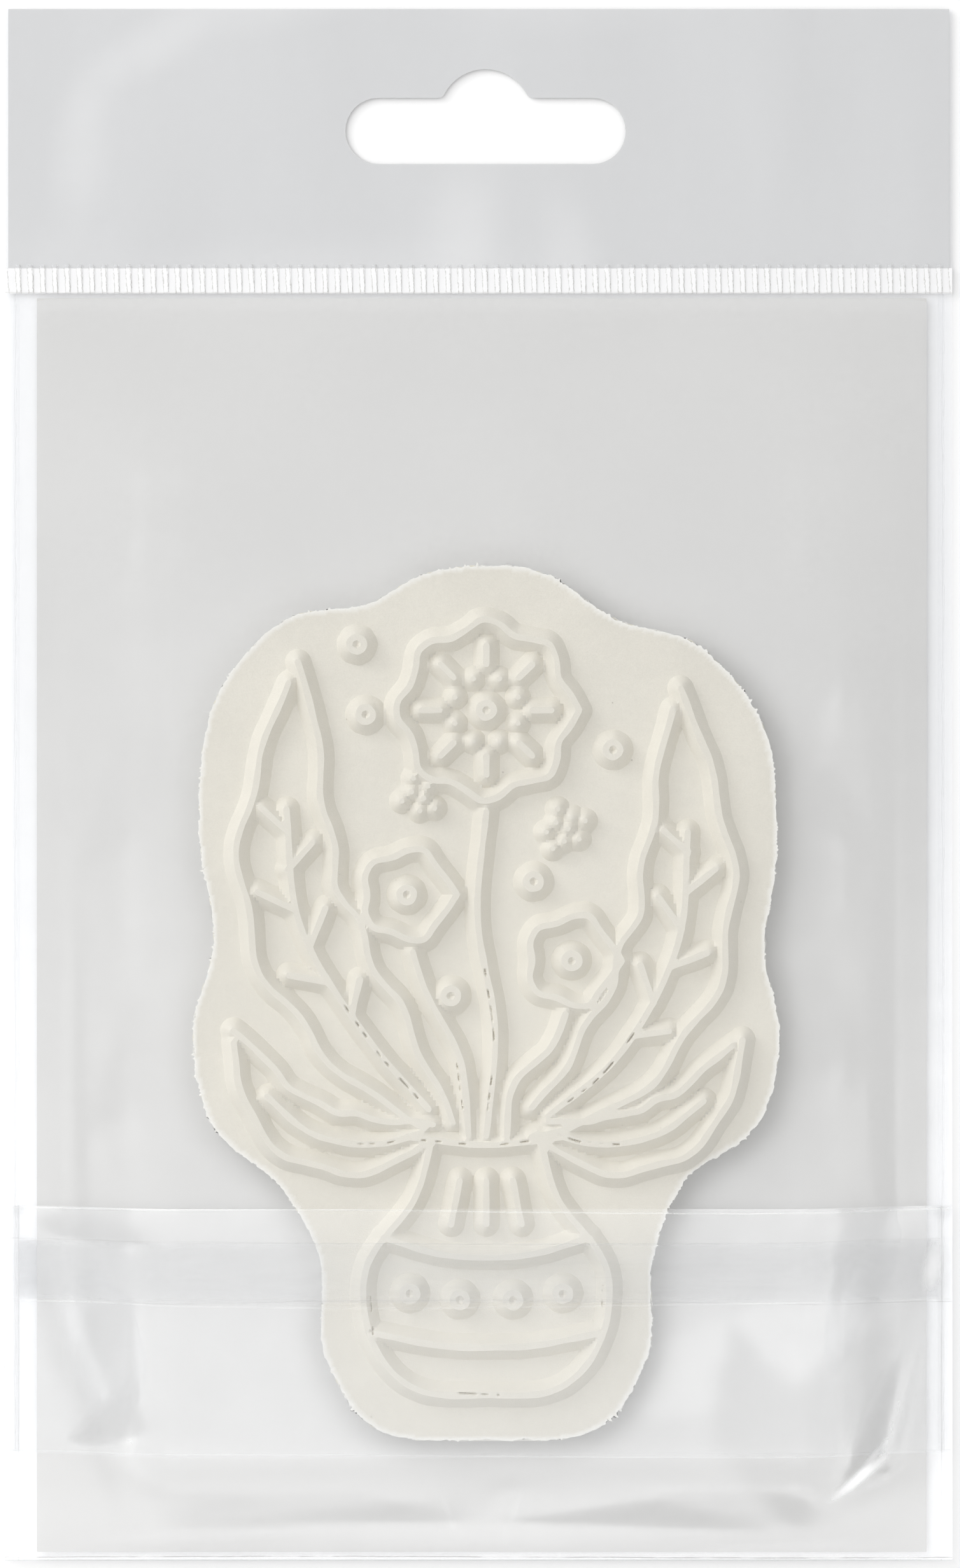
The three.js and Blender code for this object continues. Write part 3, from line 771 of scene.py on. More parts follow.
def draw_bouquet(settings):
    """The whole drawing: flowers, leaves, berries and seeds in a round vase"""
    drawing = Drawing(settings)
    here = drawing.on_die
    for points in (
        [[0, 35], [3, 47], [-3, 60], [0, 72]],
        [[-6, 35], [-9, 44], [-20, 51], [-25, 56]],
        [[7, 35], [9, 41], [22, 45], [27, 49]],
        [[-19, 34], [-24, 28], [-41, 20], [-38, 11], [-24, 6.2], [0, 5.6],
         [24, 6.2], [38, 11], [41, 20], [24, 28], [19, 34]],
        [[-27, 35], [0, 34], [27, 35]],
        [[-35, 23.5], [-16, 21.6], [0, 21.2], [16, 21.6], [35, 23.5]],
        [[-38, 12.6], [-16, 11.2], [0, 11], [16, 11.2], [38, 12.6]],
        [[-12, 25], [-9, 30]], [[0, 25], [0, 30]], [[12, 25], [9, 30]],
    ):
        drawing.lines.append(drawing.through(points))
    for u in (-26, -9, 9, 26):
        drawing.dimples.append(here(u, 16.3 + u * u * 0.0012))
    for points, half_leaf, waves, veins in (
        ([[-11, 35], [-40, 46], [-66, 62], [-64, 89]], 6, 5, 6),
        ([[11, 35], [42, 43], [66, 58], [66, 86]], 5.8, 5, 6),
        ([[-16, 36], [-42, 34], [-68, 37], [-86, 47]], 3.6, 4, 0),
        ([[16, 36], [42, 34], [68, 37], [87, 46]], 3.6, 4, 0),
    ):
        draw_leaf(drawing, drawing.through(points), half_leaf, waves, veins)
    for u, v in ((-41, 83), (43, 79), (16, 64), (-12, 51), (-44, 91)):
        drawing.dimples.append(here(u, v))
    top = here(0, 83.5)
    draw_flower(drawing, top, 10, 0.9, 8)
    for i in range(8):
        angle = 2 * math.pi * i / 8
        drawing.lines.append(smooth_line([around(top, angle, 5.4), around(top, angle, 7.6)]))
        drawing.dots.append(around(top, angle + math.pi / 8, 4))
    draw_flower(drawing, here(-27, 62.5), 5.2, 0.65, 5)
    draw_flower(drawing, here(29, 55), 5.2, 0.65, 5)
    golden_turn = math.pi * (3 - math.sqrt(5))
    for (u, v), count in (((-23, 73.5), 7), ((26, 70), 9)):
        for i in range(count):
            drawing.dots.append(around(here(u, v), i * golden_turn, 0.95 * math.sqrt(i + 0.4)))
    for points in (
        [[0.5, 38], [2.6, 46], [-0.5, 54]],
        [[-22, 34.6], [-6, 34.1]],
        [[5, 34.1], [20, 34.7]],
        [[-7.5, 37], [-10.5, 44.5]],
        [[-39.5, 17], [-38.5, 12.5]],
        [[39.6, 18], [39, 13]],
        [[-14, 5.9], [4, 5.6]],
    ):
        drawing.slits.append(drawing.through(points))
    return drawing


def trimmed_outline(drawing, shake, seed):
    """The hand-trimmed edge as a closed line of points, and its inward directions"""
    line = drawing.through([
        [0, 0.3], [38, 1.6], [55, 10], [57, 21], [68, 30], [92, 36], [100, 46], [95, 56],
        [99, 68], [94, 82], [72, 91], [44, 94], [18, 99.4], [-18, 99.4], [-42, 95.5], [-68, 94],
        [-92, 85], [-98, 70], [-93, 57], [-100, 47], [-93, 36], [-70, 29], [-57, 21], [-55, 10],
        [-38, 1.6],
    ], True)[:-1]
    along = np.roll(line, -1, axis=0) - np.roll(line, 1, axis=0)
    along /= np.linalg.norm(along, axis=1)[:, None]
    inward = np.column_stack([-along[:, 1], along[:, 0]])
    out = [shake * (wavy(x, y, 1.1, seed) - 0.4) for x, y in line]
    return line - inward * np.array(out)[:, None], inward


def tree_of(points):
    """A search tree of flat points"""
    tree = KDTree(len(points))
    for i, (x, y) in enumerate(points):
        tree.insert((x, y, 0), i)
    tree.balance()
    return tree


def soft_floor(value, limit, soft):
    """The higher of a value and a limit, rounded where they meet"""
    blend = max(soft - abs(value - limit), 0) / soft
    return max(value, limit) + blend * blend * soft / 4


def cut_with_corners(line, chord):
    """A line redrawn in straight strokes with slightly rounded corners, as it was engraved"""
    step = max(2, round(chord / line_pitch))
    if len(line) < 3 * step:
        return line
    picked = np.linspace(0, len(line) - 1, max(4, round((len(line) - 1) / step)) + 1)
    corners = line[np.round(picked).astype(int)]
    for _ in range(2):
        near = corners[:-1] * 0.8 + corners[1:] * 0.2
        far = corners[:-1] * 0.2 + corners[1:] * 0.8
        corners = np.vstack([corners[:1], np.stack([near, far], 1).reshape(-1, 2), corners[-1:]])
    return spread(corners, 0.1)


class Relief:
    """The moulded relief: how far a place lies outside the nearest crest, and its height"""

    def __init__(self, settings):
        self.drawing = draw_bouquet(settings)
        self.tall = crest_level - plate_low - settings.plate / MM
        self.crest = settings.crest / MM / 2
        self.wall = settings.wall / MM
        strokes = [cut_with_corners(line, stroke_length) for line in self.drawing.lines]
        self.lines = tree_of(np.vstack(strokes))
        self.dots = tree_of(self.drawing.dots)
        self.rings = tree_of(self.drawing.dimples)
        self.slits = tree_of(np.vstack(self.drawing.slits))

    def outside(self, x, y):
        """Distance from the edge of the nearest printing crest, negative on the crest"""
        spot = (x, y, 0)
        ring = self.rings.find(spot)[2] + 0.1 * wavy(x, y, 0.9, 2)
        return min(
            self.lines.find(spot)[2] - self.crest + 0.09 * wavy(x, y, 2.7, 11),
            self.dots.find(spot)[2] - dot_reach,
            max(ring - ring_reach, dimple_reach - ring),
        )

    def height(self, x, y):
        """Height over the plate at a place, in millimetres"""
        down = max(self.outside(x, y), 0) / self.wall
        height = soft_floor(self.tall * (1 - 0.86 * down - 0.14 * down**3), 0.0, 0.13)
        cut = self.slits.find((x, y, 0))[2] + 0.03 * wavy(x, y, 0.5, 8)
        if cut < 0.5:
            depth = slit_depth * min(1.0, max(0.0, 4 * wavy(x, y, 1.2, 6)))
            height -= depth * math.exp(-((max(cut, 0) / slit_reach) ** 2))
        return height


def rim_edges(bm):
    """The open edges of a sheet"""
    return [edge for edge in bm.edges if len(edge.link_faces) == 1]


def pull_down(bm, edges, level, shake=0.0, seed=0.0):
    """Extrude open edges to a lower level, with a little shake sideways"""
    made = bmesh.ops.extrude_edge_only(bm, edges=edges)["geom"]
    for vert in (part for part in made if isinstance(part, bmesh.types.BMVert)):
        vert.co.z = level
        if shake:
            vert.co.x += shake * wavy(vert.co.x, vert.co.y, 0.5, seed)
            vert.co.y += shake * wavy(vert.co.x, vert.co.y, 0.5, seed + 2)
    return [part for part in made if isinstance(part, bmesh.types.BMEdge)]


def cut_along(bm, value, level, pitch):
    """Cut a sheet's faces where a value passes a level, for a crisp edge there"""
    off = {}
    for vert in bm.verts:
        here = value(vert.co.x, vert.co.y) - level
        vert.select = abs(here) < 0.24 * pitch and not vert.is_boundary
        if vert.select:
            x, y, e = vert.co.x, vert.co.y, 0.05
            slope = Vector((value(x + e, y) - value(x - e, y), value(x, y + e) - value(x, y - e)))
            slope /= 2 * e
            vert.select = slope.length > 0.5
        if vert.select:
            vert.co.xy -= slope * here / slope.length_squared
            here = 0.0
        off[vert] = here
    passing = [e for e in bm.edges if off[e.verts[0]] * off[e.verts[1]] < 0]
    made = bmesh.ops.bisect_edges(bm, edges=passing, cuts=1)["geom_split"]
    for vert in made:
        if isinstance(vert, bmesh.types.BMVert):
            ends = [edge.other_vert(vert) for edge in vert.link_edges]
            first, last = (value(end.co.x, end.co.y) - level for end in ends)
            vert.co = ends[0].co.lerp(ends[1].co, first / (first - last))
            vert.select = True
    bmesh.ops.connect_verts(bm, verts=[v for v in bm.verts if v.select])


def die_mesh(settings):
    """The die: a fine grid in the trimmed outline, raised to the relief, with a plate under it"""
    relief = Relief(settings)
    outline, inward = trimmed_outline(relief.drawing, 0, 1.0)
    edge_tree = tree_of(outline)
    pitch = settings.pitch / MM
    bm = flat_grid(outline.min(0) - pitch, outline.max(0) + pitch, pitch)
    cut_to_outline(bm, edge_tree, inward, 0.45 * pitch)
    close = {v for v in bm.verts if relief.slits.find(v.co)[2] < 0.45}
    edges = [e for e in bm.edges if not e.is_boundary and close.issuperset(e.verts)]
    bmesh.ops.subdivide_edges(bm, edges=edges, cuts=3, use_grid_fill=True)
    cut_along(bm, relief.outside, 0.0, pitch)
    cut_along(bm, relief.outside, relief.wall, pitch)
    bmesh.ops.subdivide_edges(bm, edges=rim_edges(bm), cuts=3)
    plate_top = plate_low + settings.plate / MM
    for vert in bm.verts:
        vert.co.z = plate_top + relief.height(vert.co.x, vert.co.y)
    nibble(bm, edge_tree, inward, settings.nibs / MM, 1.0)
    edges = rim_edges(bm)
    depth = plate_top - plate_low
    for i, share in enumerate((0.3, 0.65)):
        edges = pull_down(bm, edges, plate_top - depth * share, 0.1, 4.0 + i)
    edges = pull_down(bm, edges, plate_low)
    bmesh.ops.triangle_fill(bm, edges=edges, use_beauty=True)
    bmesh.ops.recalc_face_normals(bm, faces=bm.faces)
    return bm


def mark_rim_highlight(piece):
    """Mark the trimmed wall and the rim of the face over it, for the painted highlight of the cut
    edge
    """
    bm = bmesh.new()
    bm.from_mesh(piece.data)
    cut = [
        vert.co.z < (plate_low + 1.6) * MM
        and min(abs(face.normal.z) for face in vert.link_faces) < 0.3
        for vert in bm.verts
    ]
    bm.free()
    write_values(piece, "trimmed", cut)


def cut_to_outline(bm, edge_tree, inward, margin):
    """Delete a grid's points outside an outline, and draw its new rim onto the outline"""
    outside = []
    for vert in bm.verts:
        spot, i, _ = edge_tree.find(vert.co)
        depth = (vert.co.x - spot.x) * inward[i, 0] + (vert.co.y - spot.y) * inward[i, 1]
        if depth < margin:
            outside.append(vert)
    bmesh.ops.delete(bm, geom=outside, context="VERTS")
    while True:
        loose = [
            v for v in bm.verts
            if not v.link_faces or (v.is_boundary and sum(e.is_boundary for e in v.link_edges) != 2)
        ]
        if not loose:
            break
        bmesh.ops.delete(bm, geom=loose, context="VERTS")
    for vert in bm.verts:
        if vert.is_boundary:
            vert.co.xy = edge_tree.find(vert.co)[0].xy


def nibble(bm, edge_tree, inward, reach, seed):
    """Fray a sheet's rim as scissors leave it: small bites, and nibs in clusters"""
    for vert in bm.verts:
        if vert.is_boundary:
            x, y = vert.co.x, vert.co.y
            _, i, _ = edge_tree.find((x, y, 0))
            bite = 0.6 * wavy(x, y, 2.2, seed) + 0.5 * wavy(x, y, 0.6, seed + 3)
            cluster = max(0.0, 0.4 + 1.5 * wavy(x, y, 4, seed + 5))
            nib = max(0.0, wavy(x, y, 0.3, seed + 7) - 0.14) * 2.6 * cluster
            out = reach * (bite + nib + 0.7 * max(0.0, wavy(x, y, 0.19, seed + 9)) - 0.35)
            vert.co.x -= inward[i, 0] * out
            vert.co.y -= inward[i, 1] * out


def trimmed_sheet(settings, low, high, steps, shake, seed):
    """A sheet trimmed with the die: its outline filled, pulled down to a wall and closed"""
    drawing = draw_bouquet(settings)
    outline = trimmed_outline(drawing, settings.nibs / MM, seed)[0][::4]
    bm = bmesh.new()
    rim = [bm.verts.new((x, y, high)) for x, y in outline]
    edges = [bm.edges.new((a, b)) for a, b in zip(rim, [*rim[1:], rim[0]])]
    bmesh.ops.triangle_fill(bm, edges=edges, use_beauty=True)
    edges = rim_edges(bm)
    for i in range(1, steps):
        edges = pull_down(bm, edges, high - (high - low) * i / steps, shake, seed + i)
    edges = pull_down(bm, edges, low)
    bmesh.ops.triangle_fill(bm, edges=edges, use_beauty=True)
    bmesh.ops.recalc_face_normals(bm, faces=bm.faces)
    return bm


# Film: sheets draped on a tent of supports


class Solid:
    """Finds the upper side of a CAD node at any place, in millimetres"""

    def __init__(self, name):
        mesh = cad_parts[name].data
        points = [v.co / MM for v in mesh.vertices]
        self.facets = BVHTree.FromPolygons(points, [list(f.vertices) for f in mesh.polygons])

    def top(self, x, y, missing=0.0):
        """The level of the upper side at a place"""
        hit = self.facets.ray_cast(Vector((x, y, 60)), Vector((0, 0, -1)))[0]
        return missing if hit is None else hit.z


class Creases:
    """Shallow folds: flat facets between points that stand a little above or below the film"""

    def __init__(self, low, high, points):
        corners = [(low[0], low[1]), (high[0], low[1]), (high[0], high[1]), (low[0], high[1])]
        flat = [Vector(p) for p in corners] + [Vector(p[:2]) for p in points]
        lifts = [0] * 4 + [p[2] for p in points]
        made = delaunay_2d_cdt(flat, [], [], 0, 1e-6)
        folded = [(spot.x, spot.y, lifts[origin[0]]) for spot, origin in zip(made[0], made[3])]
        self.facets = BVHTree.FromPolygons(folded, made[2])

    def lift(self, x, y):
        """How far the fold stands above the film at a place"""
        hit = self.facets.ray_cast(Vector((x, y, 60)), Vector((0, 0, -1)))[0]
        return 0.0 if hit is None else hit.z


# Where the front film is creased: place and lift in millimetres
front_creases = [
    (-50, 50, 0.0), (-20, 50, 0.0), (10, 50, 0.0), (40, 50, 0.0), (51, 50, 0.1),
    (48, 44, 0.35), (44, 36, -0.1), (50, 30, 0.2), (38, 26, 0.0), (45, 14, 0.3), (41, 2, -0.15),
    (47, -8, 0.3), (40, -20, -0.1), (46, -32, 0.35), (39, -44, -0.2), (47, -50, 0.4),
    (-45, 40, 0.1), (-48, 20, 0.25), (-42, 8, -0.1), (-47, -10, 0.2), (-41, -24, -0.1),
    (-46, -40, 0.3), (-40, -52, -0.15), (-30, 34, 0.0), (0, 34, 0.0), (26, 34, 0.0),
    (-30, 0, 0.0), (30, 0, 0.0), (-28, -40, 0.0), (28, -40, 0.0), (0, 0, 0.0), (0, -40, 0.0),
    (-44, -66, 0.3), (-30, -60, -0.2), (-20, -72, 0.2), (22, -72, 0.2), (32, -62, -0.25),
    (42, -66, 0.35),
]

# Where the closed flap is creased
flap_creases = [
    (-54, -55, 0.0), (-51.1, -53.3, 0.3), (-48.6, -62, -0.3), (-43.5, -72.1, -0.45),
    (-41, -88.7, -0.1), (-49, -78, 0.4), (-36, -76, 0.45), (-30, -66, -0.1), (-22, -80, 0.3),
    (-24, -56, 0.1), (-8, -84, 0.1), (0, -87, -0.2), (6, -80, -0.1), (20, -84, 0.3),
    (29.5, -62.7, 0.35), (36.7, -70.7, -0.45), (27.3, -77.9, 0.5), (38.2, -88.7, -0.15),
    (44.7, -75.7, 0.5), (41.1, -84.4, 0.3), (47.6, -79.3, -0.35), (49.7, -80.8, 0.4),
    (54.1, -58.4, 0.3), (45, -55, -0.2), (0, -56, 0.0),
]


def settled(solid, x, y):
    """How freely the film hangs at a place: not at all where it lies on the card or the stamp"""
    level = solid.top(x, y)
    over_card = min(1.0, max(0.0, level - flat_level) / 1.4)
    return over_card * min(1.0, max(0.0, crest_level + 0.2 - level))


def draped_film(low, high, pitch, level, softness, lift=None, fold_softness=1):
    """A fine grid laid on a level and softened, then folded"""
    bm = flat_grid(Vector(low), Vector(high), pitch)
    for vert in bm.verts:
        vert.co.z = level(vert.co.x, vert.co.y)
    inner = [v for v in bm.verts if not v.is_boundary]

    def soften(times):
        for _ in range(times):
            bmesh.ops.smooth_vert(
                bm, verts=inner, factor=0.5, use_axis_x=False, use_axis_y=False, use_axis_z=True
            )

    soften(softness)
    if lift is not None:
        for vert in bm.verts:
            vert.co.z += lift(vert.co.x, vert.co.y)
        soften(fold_softness)
    return bm


# Painted reflection on the closed flap: each facet's share of painted brightness, where it hangs
# free of the stamp
flap_facet_sheens = [
    (((-52, -55), (-49.5, -62), (-45.5, -72), (-41, -88.7), (-46.5, -76), (-52, -64)), 0.4),
    (((29.5, -62.7), (36.7, -70.7), (27.3, -77.9)), 0.45),
    (((27.6, -77.7), (36.7, -70.7), (41, -79), (37.4, -88)), 0.5),
    (((36.7, -70.7), (54.1, -58.4), (47, -73), (41, -79)), 0.5),
    (((29.5, -62.7), (36.7, -70.7), (47, -62), (38, -57)), 1.1),
    (((47, -73), (54.1, -58.4), (55.6, -80.8), (41, -79)), 0.65),
    (((41, -79), (55.6, -80.8), (37.4, -88)), 0.55),
    (((14, -66), (29.5, -62.7), (27, -74), (19, -74)), 1.15),
]


def inside(corners, x, y):
    """Whether a place lies inside an outline of straight sides: 1 inside, 0 outside"""
    crossings = 0
    for (x0, y0), (x1, y1) in zip(corners, (*corners[1:], corners[0])):
        if (y0 > y) != (y1 > y) and x < (x1 - x0) * (y - y0) / (y1 - y0) + x0:
            crossings += 1
    return crossings % 2


def paint_film_sheen(piece, facets=()):
    """Write a painted brightness for a film: none on the stamp, a facet's share beside it"""
    stamp = Solid("foam_cushion")
    values = []

    def stamp_edge(x, y):
        spot = stamp.facets.find_nearest(Vector((x, y, foam_levels[0])))[0]
        return (spot.xy - Vector((x, y))).length

    for vert in piece.data.vertices:
        x, y, _ = vert.co / MM
        gap = min(1.0, max(0.0, stamp_edge(x, y)) / 3)
        share = 0.8
        for corners, factor in facets:
            if inside(corners, x + 0.5 * wavy(x, y, 3, 4), y + 0.5 * wavy(x, y, 3, 9)):
                share = factor
        if not facets and y < flap_high.y:
            share = 0.0
        if facets and strip_low.y < y < strip_high.y:
            share *= 0.5
        values.append(gap * share)
    near = [[] for _ in values]
    for edge in piece.data.edges:
        a, b = edge.vertices
        near[a].append(b)
        near[b].append(a)
    for _ in range(3):
        values = [0.4 * v + 0.6 * sum(values[i] for i in n) / len(n) for v, n in zip(values, near)]
    write_values(piece, "free", values)


def mark_creases(piece, full):
    """Write how sharply the film bends at each point, for its whitened creases"""
    bm = bmesh.new()
    bm.from_mesh(piece.data)
    bend = []
    for vert in bm.verts:
        near = [edge.other_vert(vert).co.z for edge in vert.link_edges]
        bend.append(0 if vert.is_boundary else abs(vert.co.z - sum(near) / len(near)) / full)
    bm.free()
    write_values(piece, "crease", np.clip(np.array(bend) - 0.15, 0, 1))


def upper_face(name):
    """The upper side of a flat CAD node as an open sheet, in millimetres"""
    bm = bmesh.new()
    bm.from_mesh(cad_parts[name].data)
    bmesh.ops.remove_doubles(bm, verts=bm.verts, dist=1e-6)
    bmesh.ops.recalc_face_normals(bm, faces=bm.faces)
    bmesh.ops.delete(bm, geom=[f for f in bm.faces if f.normal.z < 0.5], context="FACES")
    bmesh.ops.scale(bm, vec=(1 / MM, 1 / MM, 1 / MM), verts=bm.verts)
    return bm


# Operators


class CLINGSTAMP_OT_storage_card(bpy.types.Operator):
    """Give the storage card its board"""

    bl_idname = "clingstamp.storage_card"
    bl_label = "Storage Card"

    def execute(self, context):
        dress_node("storage_card", card_finish(context.scene.cling_card))
        return {"FINISHED"}


class CLINGSTAMP_OT_rubber_die(bpy.types.Operator):
    """Mould the rubber die with its relief and trimmed edge"""

    bl_idname = "clingstamp.rubber_die"
    bl_label = "Rubber Die"

    def execute(self, context):
        settings = context.scene.cling_rubber
        piece = make_piece("moulded_rubber_die", die_mesh(settings), "stamp", 32)
        mark_rim_highlight(piece)
        dress(piece, rubber_finish(settings))
        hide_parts("rubber_die")
        return {"FINISHED"}


class CLINGSTAMP_OT_cushion(bpy.types.Operator):
    """Build the foam cushion, the bonding sheet and the cling skin"""

    bl_idname = "clingstamp.cushion"
    bl_label = "Cushion Layers"

    def execute(self, context):
        rubber = context.scene.cling_rubber
        settings = context.scene.cling_cushion
        foam = make_piece(
            "foam_pad", trimmed_sheet(rubber, *foam_levels, 6, 0.16, 21.0), "stamp", 50
        )
        dress(foam, foam_finish(settings))
        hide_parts("foam_cushion")
        bond = make_piece(
            "bonding_sheet", trimmed_sheet(rubber, *bond_levels, 1, 0, 31.0), "stamp", 50
        )
        dress(bond, bond_finish())
        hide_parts("bond_adhesive")
        skin = make_piece(
            "cling_sheet", trimmed_sheet(rubber, *skin_levels, 2, 0.05, 41.0), "stamp", 50
        )
        dress(skin, skin_finish(settings))
        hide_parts("cling_skin")
        return {"FINISHED"}


class CLINGSTAMP_OT_header(bpy.types.Operator):
    """Finish the header sheet, its cover film and the back film"""

    bl_idname = "clingstamp.header"
    bl_label = "Header and Back"

    def execute(self, context):
        settings = context.scene.cling_pouch
        dress_node("header_panel", header_finish(settings))
        cover = make_piece("header_cover", upper_face("header_cover_film"), "pouch")
        # Painted sheens on the header: ovals of a stronger mirror for its soft highlights
        painted_sheens = [
            ((-47, 74), 11, 5, 84, 0.1), ((-45.5, 82), 8, 4.5, 60, 0.07),
            ((-38, 87.5), 10, 4.5, 30, 0.12), ((-26, 92), 14, 5, 8, 0.08),
            ((-2, 65), 12, 7, 84, 0.14), ((11, 62), 11, 5, 98, 0.09),
            ((-20, 60), 40, 6, 2, 0.08), ((10, 92), 20, 5, 2, 0.05), ((-50, 62), 12, 6, 10, 0.05),
        ]
        dress(cover, film_finish(settings, "header film", 1.0, 0.0001, painted_sheens=painted_sheens))
        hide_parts("header_cover_film")
        bm = upper_face("back_film")
        bmesh.ops.translate(bm, verts=bm.verts, vec=(0, 0, -levels("back_film")[1]))
        back = make_piece("back_wall", bm, "pouch")
        dress(back, film_finish(settings, "back film", 0.6))
        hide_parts("back_film")
        return {"FINISHED"}


class CLINGSTAMP_OT_welds(bpy.types.Operator):
    """Finish the knurled seal and the side welds"""

    bl_idname = "clingstamp.welds"
    bl_label = "Welds"

    def execute(self, context):
        settings = context.scene.cling_pouch
        dress_node("seal_band", rib_finish(settings))
        for name, side in (("side_seam_left", -1), ("side_seam_right", 1)):
            seam = make_piece("weld_" + name.split("_")[-1], upper_face(name), "pouch")
            dress(seam, welded_finish(side * weld_middle))
            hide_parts(name)
        return {"FINISHED"}


class CLINGSTAMP_OT_films(bpy.types.Operator):
    """Drape the pouch's front film and its closed flap with the adhesive strip"""

    bl_idname = "clingstamp.films"
    bl_label = "Front Film and Flap"

    def execute(self, context):
        settings = context.scene.cling_pouch
        pitch = settings.pitch / MM
        half = settings.film / MM / 2
        front_solid, flap_solid = Solid("front_film"), Solid("flap_film")
        front_low, front_high = (-half_width, mouth_y), (half_width, band_low.y)
        folds = Creases(front_low, front_high, front_creases)
        bm = draped_film(
            front_low, front_high, pitch,
            lambda x, y: front_solid.top(x, y, weld_level + half) - half, 6,
            lambda x, y: folds.lift(x, y) * settled(front_solid, x, y), 2,
        )
        front = make_piece("tented_front_film", bm, "pouch")
        mark_creases(front, 0.00006)
        # The mouth's edge: a pale line painted as the edge's highlight, with a darker line beside
        # it
        marks = [
            (mouth_y + 0.25, 0.12, 0.06, 0.15, 0.16, 0.98),
            (mouth_y + 0.4, 0.06, 0.06, 0.15, 0.1, 0.4),
        ]
        paint_film_sheen(front)
        dress(front, film_finish(settings, marks=marks, mirrored=0.03, gloss=0.05))
        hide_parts("front_film")
        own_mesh(front)

        fold_y = flap_low.y + 0.4
        flap_at, flap_end = (-half_width, fold_y), (half_width, flap_high.y)
        folds = Creases(flap_at, flap_end, flap_creases)

        def flap_height(x, y):
            level = flap_solid.top(x, max(y, mouth_y), flat_level) - half * 0.9
            taut = min(1.0, (y - fold_y) / (mouth_y - fold_y))
            return flat_level + (level - flat_level) * taut

        bm = draped_film(
            flap_at, flap_end, pitch, flap_height, 6,
            lambda x, y: folds.lift(x, y) * settled(flap_solid, x, y), 1,
        )
        flap_level = [(v.co.x, v.co.y, v.co.z) for v in bm.verts]
        fold_edges = [e for e in rim_edges(bm) if all(v.co.y < fold_y + 1e-4 for v in e.verts)]
        for vert in {v for e in fold_edges for v in e.verts}:
            vert.co.z = flat_level
        bmesh.ops.spin(
            bm, geom=fold_edges, cent=(0, fold_y, flat_level / 2), axis=(1, 0, 0),
            angle=math.pi, steps=8, use_merge=False, use_duplicate=False,
        )
        bmesh.ops.recalc_face_normals(bm, faces=bm.faces)
        flap = make_piece("folded_flap", bm, "flap")
        mark_creases(flap, 0.00006)
        paint_film_sheen(flap, flap_facet_sheens)
        # Pale lines painted as highlights on the flap's top edge and under the strip; darker lines
        # at the strip's borders and the fold
        marks = [
            (flap_high.y - 0.3, 0.12, 0.05, 0.22, 0.24, 0.99),
            (flap_high.y - 0.14, 0.05, 0.05, 0.22, 0.06, 0.4),
            (strip_high.y, 0.07, 0.1, 0.15, 0.09, 0.35),
            (strip_low.y, 0.08, 0.1, 0.3, 0.1, 0.3),
            (strip_low.y - 0.3, 0.14, 0.1, 0.3, 0.1, 0.99),
            (fold_y + 0.12, 0.1, 0.04, 0.1, 0.6, 0.25),
        ]
        sides = [(-54.3, 0.07, 0.05, 0.13, 0.4), (54.6, 0.07, 0.05, 0.13, 0.4)]
        # Painted highlights: soft white ovals where the flap's facets catch the light
        painted_glints = [
            ((44.4, -81.8), 5.2, 0.9, 38, 0.8), ((46, -79.5), 4, 0.7, 50, 0.5),
            ((53.4, -57), 4.5, 1.6, 82, 0.5), ((0, -88.5), 30, 2.2, 0, 0.1),
            ((-30, -88), 22, 1.6, 4, 0.1), ((36, -90), 18, 1.2, 3, 0.1),
            ((4, -86), 7, 0.7, 70, 0.06), ((-3.5, -86), 6, 0.7, 112, 0.06),
        ]
        # Painted sheen along the flap's lower stretch
        painted_sheens = [((0, -86.2), 80, 6.0, 0, 0.028)]
        dress(flap, film_finish(
            settings, "flap film", 1.0, 0.0001, marks, sides, painted_glints, painted_sheens,
            mirrored=0.045, gloss=0.07,
        ))
        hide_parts("flap_film")
        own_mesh(flap)

        heights = tree_of([(x, y) for x, y, _ in flap_level])

        def strip_level(x, y):
            return flap_level[heights.find((x, y, 0))[1]][2] - 0.09

        strip = make_piece(
            "glue_strip",
            draped_film(
                (strip_low.x, strip_low.y), (strip_high.x, strip_high.y), pitch, strip_level, 2
            ),
            "flap",
        )
        dress(strip, strip_finish())
        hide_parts("adhesive_strip")
        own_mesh(strip)
        return {"FINISHED"}


def shown_rays(tree):
    """The light path, and 1 for rays that show a thing directly, in a mirror or through film"""
    rays = add(tree, "ShaderNodeLightPath").outputs
    seen = maths(tree, "MAXIMUM", rays["Is Camera Ray"], rays["Is Glossy Ray"])
    return rays, maths(tree, "MAXIMUM", seen, rays["Is Transmission Ray"])


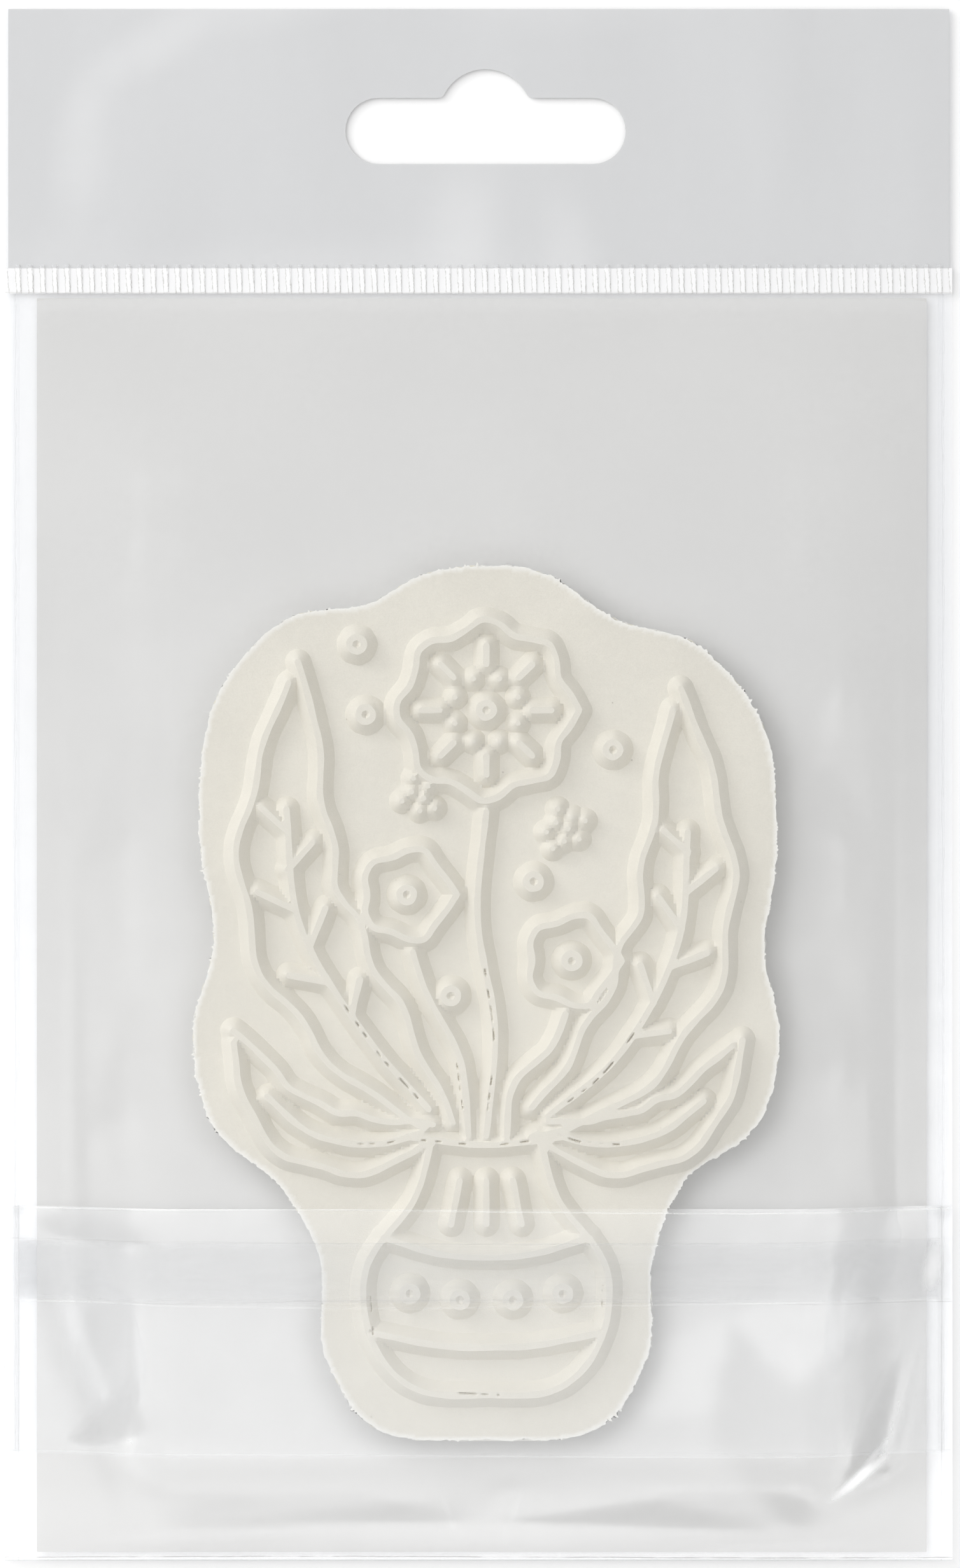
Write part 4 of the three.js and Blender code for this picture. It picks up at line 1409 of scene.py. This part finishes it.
class CLINGSTAMP_OT_stage(bpy.types.Operator):
    """Set the white floor, the soft lights and the camera over the pouch"""

    bl_idname = "clingstamp.stage"
    bl_label = "Stage"

    def execute(self, context):
        settings = context.scene.cling_stage
        scene = context.scene
        bm = bmesh.new()
        bmesh.ops.create_grid(
            bm, x_segments=1, y_segments=1, size=2, matrix=Matrix.Translation((0, 0, -0.0003))
        )
        mesh = bpy.data.meshes.new("floor")
        bm.to_mesh(mesh)
        bm.free()
        floor = bpy.data.objects.new("floor", mesh)
        scene.collection.objects.link(floor)
        material, tree = finish("white floor")
        surface = add(
            tree, "ShaderNodeBsdfPrincipled",
            {"Base Color": (0.9, 0.9, 0.9, 1), "Roughness": 0.9, "Specular IOR Level": 0.1},
        )
        seen = shown_rays(tree)[1]
        glow = add(
            tree, "ShaderNodeEmission",
            {"Color": (1, 1, 1, 1), "Strength": maths(tree, "MULTIPLY", seen, 0.1)},
        )
        both = add(tree, "ShaderNodeAddShader", {0: surface.outputs[0], 1: glow.outputs[0]})
        show(tree, both.outputs[0])
        dress(floor, material)

        world = bpy.data.worlds.new("room")
        scene.world = world
        world.use_nodes = True
        tree = world.node_tree
        tree.nodes.clear()
        rays, seen = shown_rays(tree)
        lit = from_to(tree, seen, 0, 1, settings.room_strength, 1)
        toward = add(
            tree, "ShaderNodeSeparateXYZ",
            {0: add(tree, "ShaderNodeTexCoord").outputs["Generated"]},
        )
        mirrored = from_to(
            tree, toward.outputs["Z"], 0.2, 0.45, settings.horizon, settings.mirrored_room
        )
        strength = maths(
            tree, "MULTIPLY_ADD",
            rays["Is Glossy Ray"], maths(tree, "SUBTRACT", mirrored, 1), lit,
        )
        light = add(tree, "ShaderNodeBackground", {"Color": (1, 1, 1, 1), "Strength": strength})
        add(tree, "ShaderNodeOutputWorld", {"Surface": light.outputs[0]})

        for name, place, size, level, mirrored in (
            ("key", (-0.6, 0.4, 0.84), (1.0, 1.0), settings.key_strength, False),
            ("rake", (-0.82, 0.6, 0.4), (0.6, 0.35), settings.rake_strength, False),
            ("sheen", (0, -0.621, 0.908), (3.4, 1.36), settings.sheen_strength, True),
        ):
            lamp = bpy.data.lights.new(name, "AREA")
            lamp.shape = "RECTANGLE"
            lamp.size, lamp.size_y = size
            lamp.energy = 4 * level * size[0] * size[1]
            holder = bpy.data.objects.new(name, lamp)
            scene.collection.objects.link(holder)
            holder.location = place
            holder.rotation_euler = Vector(place).to_track_quat("Z", "Y").to_euler()
            holder.visible_camera = False
            holder.visible_diffuse = not mirrored
            holder.visible_glossy = mirrored
            holder.visible_transmission = False

        camera = bpy.data.cameras.new("camera")
        camera.lens = settings.lens
        camera.sensor_width = sensor
        holder = bpy.data.objects.new("camera", camera)
        scene.collection.objects.link(holder)
        away = settings.framed_height * settings.lens / sensor
        holder.location = (0.00015, 0.00011, away)
        camera.clip_start, camera.clip_end = 0.01, 10
        scene.camera = holder
        scene.view_settings.view_transform = "Standard"
        return {"FINISHED"}


class CLINGSTAMP_PT_panel(bpy.types.Panel):
    """Lists the settings and the pieces"""

    bl_idname = "CLINGSTAMP_PT_panel"
    bl_label = "Cling Stamp"
    bl_space_type = "VIEW_3D"
    bl_region_type = "UI"
    bl_category = "Cling Stamp"

    def draw(self, context):
        for group in groups:
            box = self.layout.box()
            settings = getattr(context.scene, group)
            for name in settings.bl_rna.properties.keys():
                if name not in ("rna_type", "name"):
                    box.prop(settings, name)
        for operator in operators:
            self.layout.operator(operator.bl_idname)


groups = {
    "cling_rubber": ClingStampRubber,
    "cling_cushion": ClingStampCushion,
    "cling_card": ClingStampCard,
    "cling_pouch": ClingStampPouch,
    "cling_stage": ClingStampStage,
}
operators = [
    CLINGSTAMP_OT_storage_card,
    CLINGSTAMP_OT_rubber_die,
    CLINGSTAMP_OT_cushion,
    CLINGSTAMP_OT_header,
    CLINGSTAMP_OT_welds,
    CLINGSTAMP_OT_films,
    CLINGSTAMP_OT_stage,
]
classes = [*groups.values(), *operators, CLINGSTAMP_PT_panel]


def register():
    """Register the settings, operators and panel"""
    for item in classes:
        bpy.utils.register_class(item)
    for name, group in groups.items():
        setattr(bpy.types.Scene, name, bpy.props.PointerProperty(type=group))


def unregister():
    """Remove them again"""
    for name in groups:
        delattr(bpy.types.Scene, name)
    for item in reversed(classes):
        bpy.utils.unregister_class(item)


def main():
    """Build every piece in order"""
    register()
    bpy.ops.clingstamp.storage_card()
    bpy.ops.clingstamp.rubber_die()
    bpy.ops.clingstamp.cushion()
    bpy.ops.clingstamp.header()
    bpy.ops.clingstamp.welds()
    bpy.ops.clingstamp.films()
    bpy.ops.clingstamp.stage()


if __name__ == "__main__":
    main()
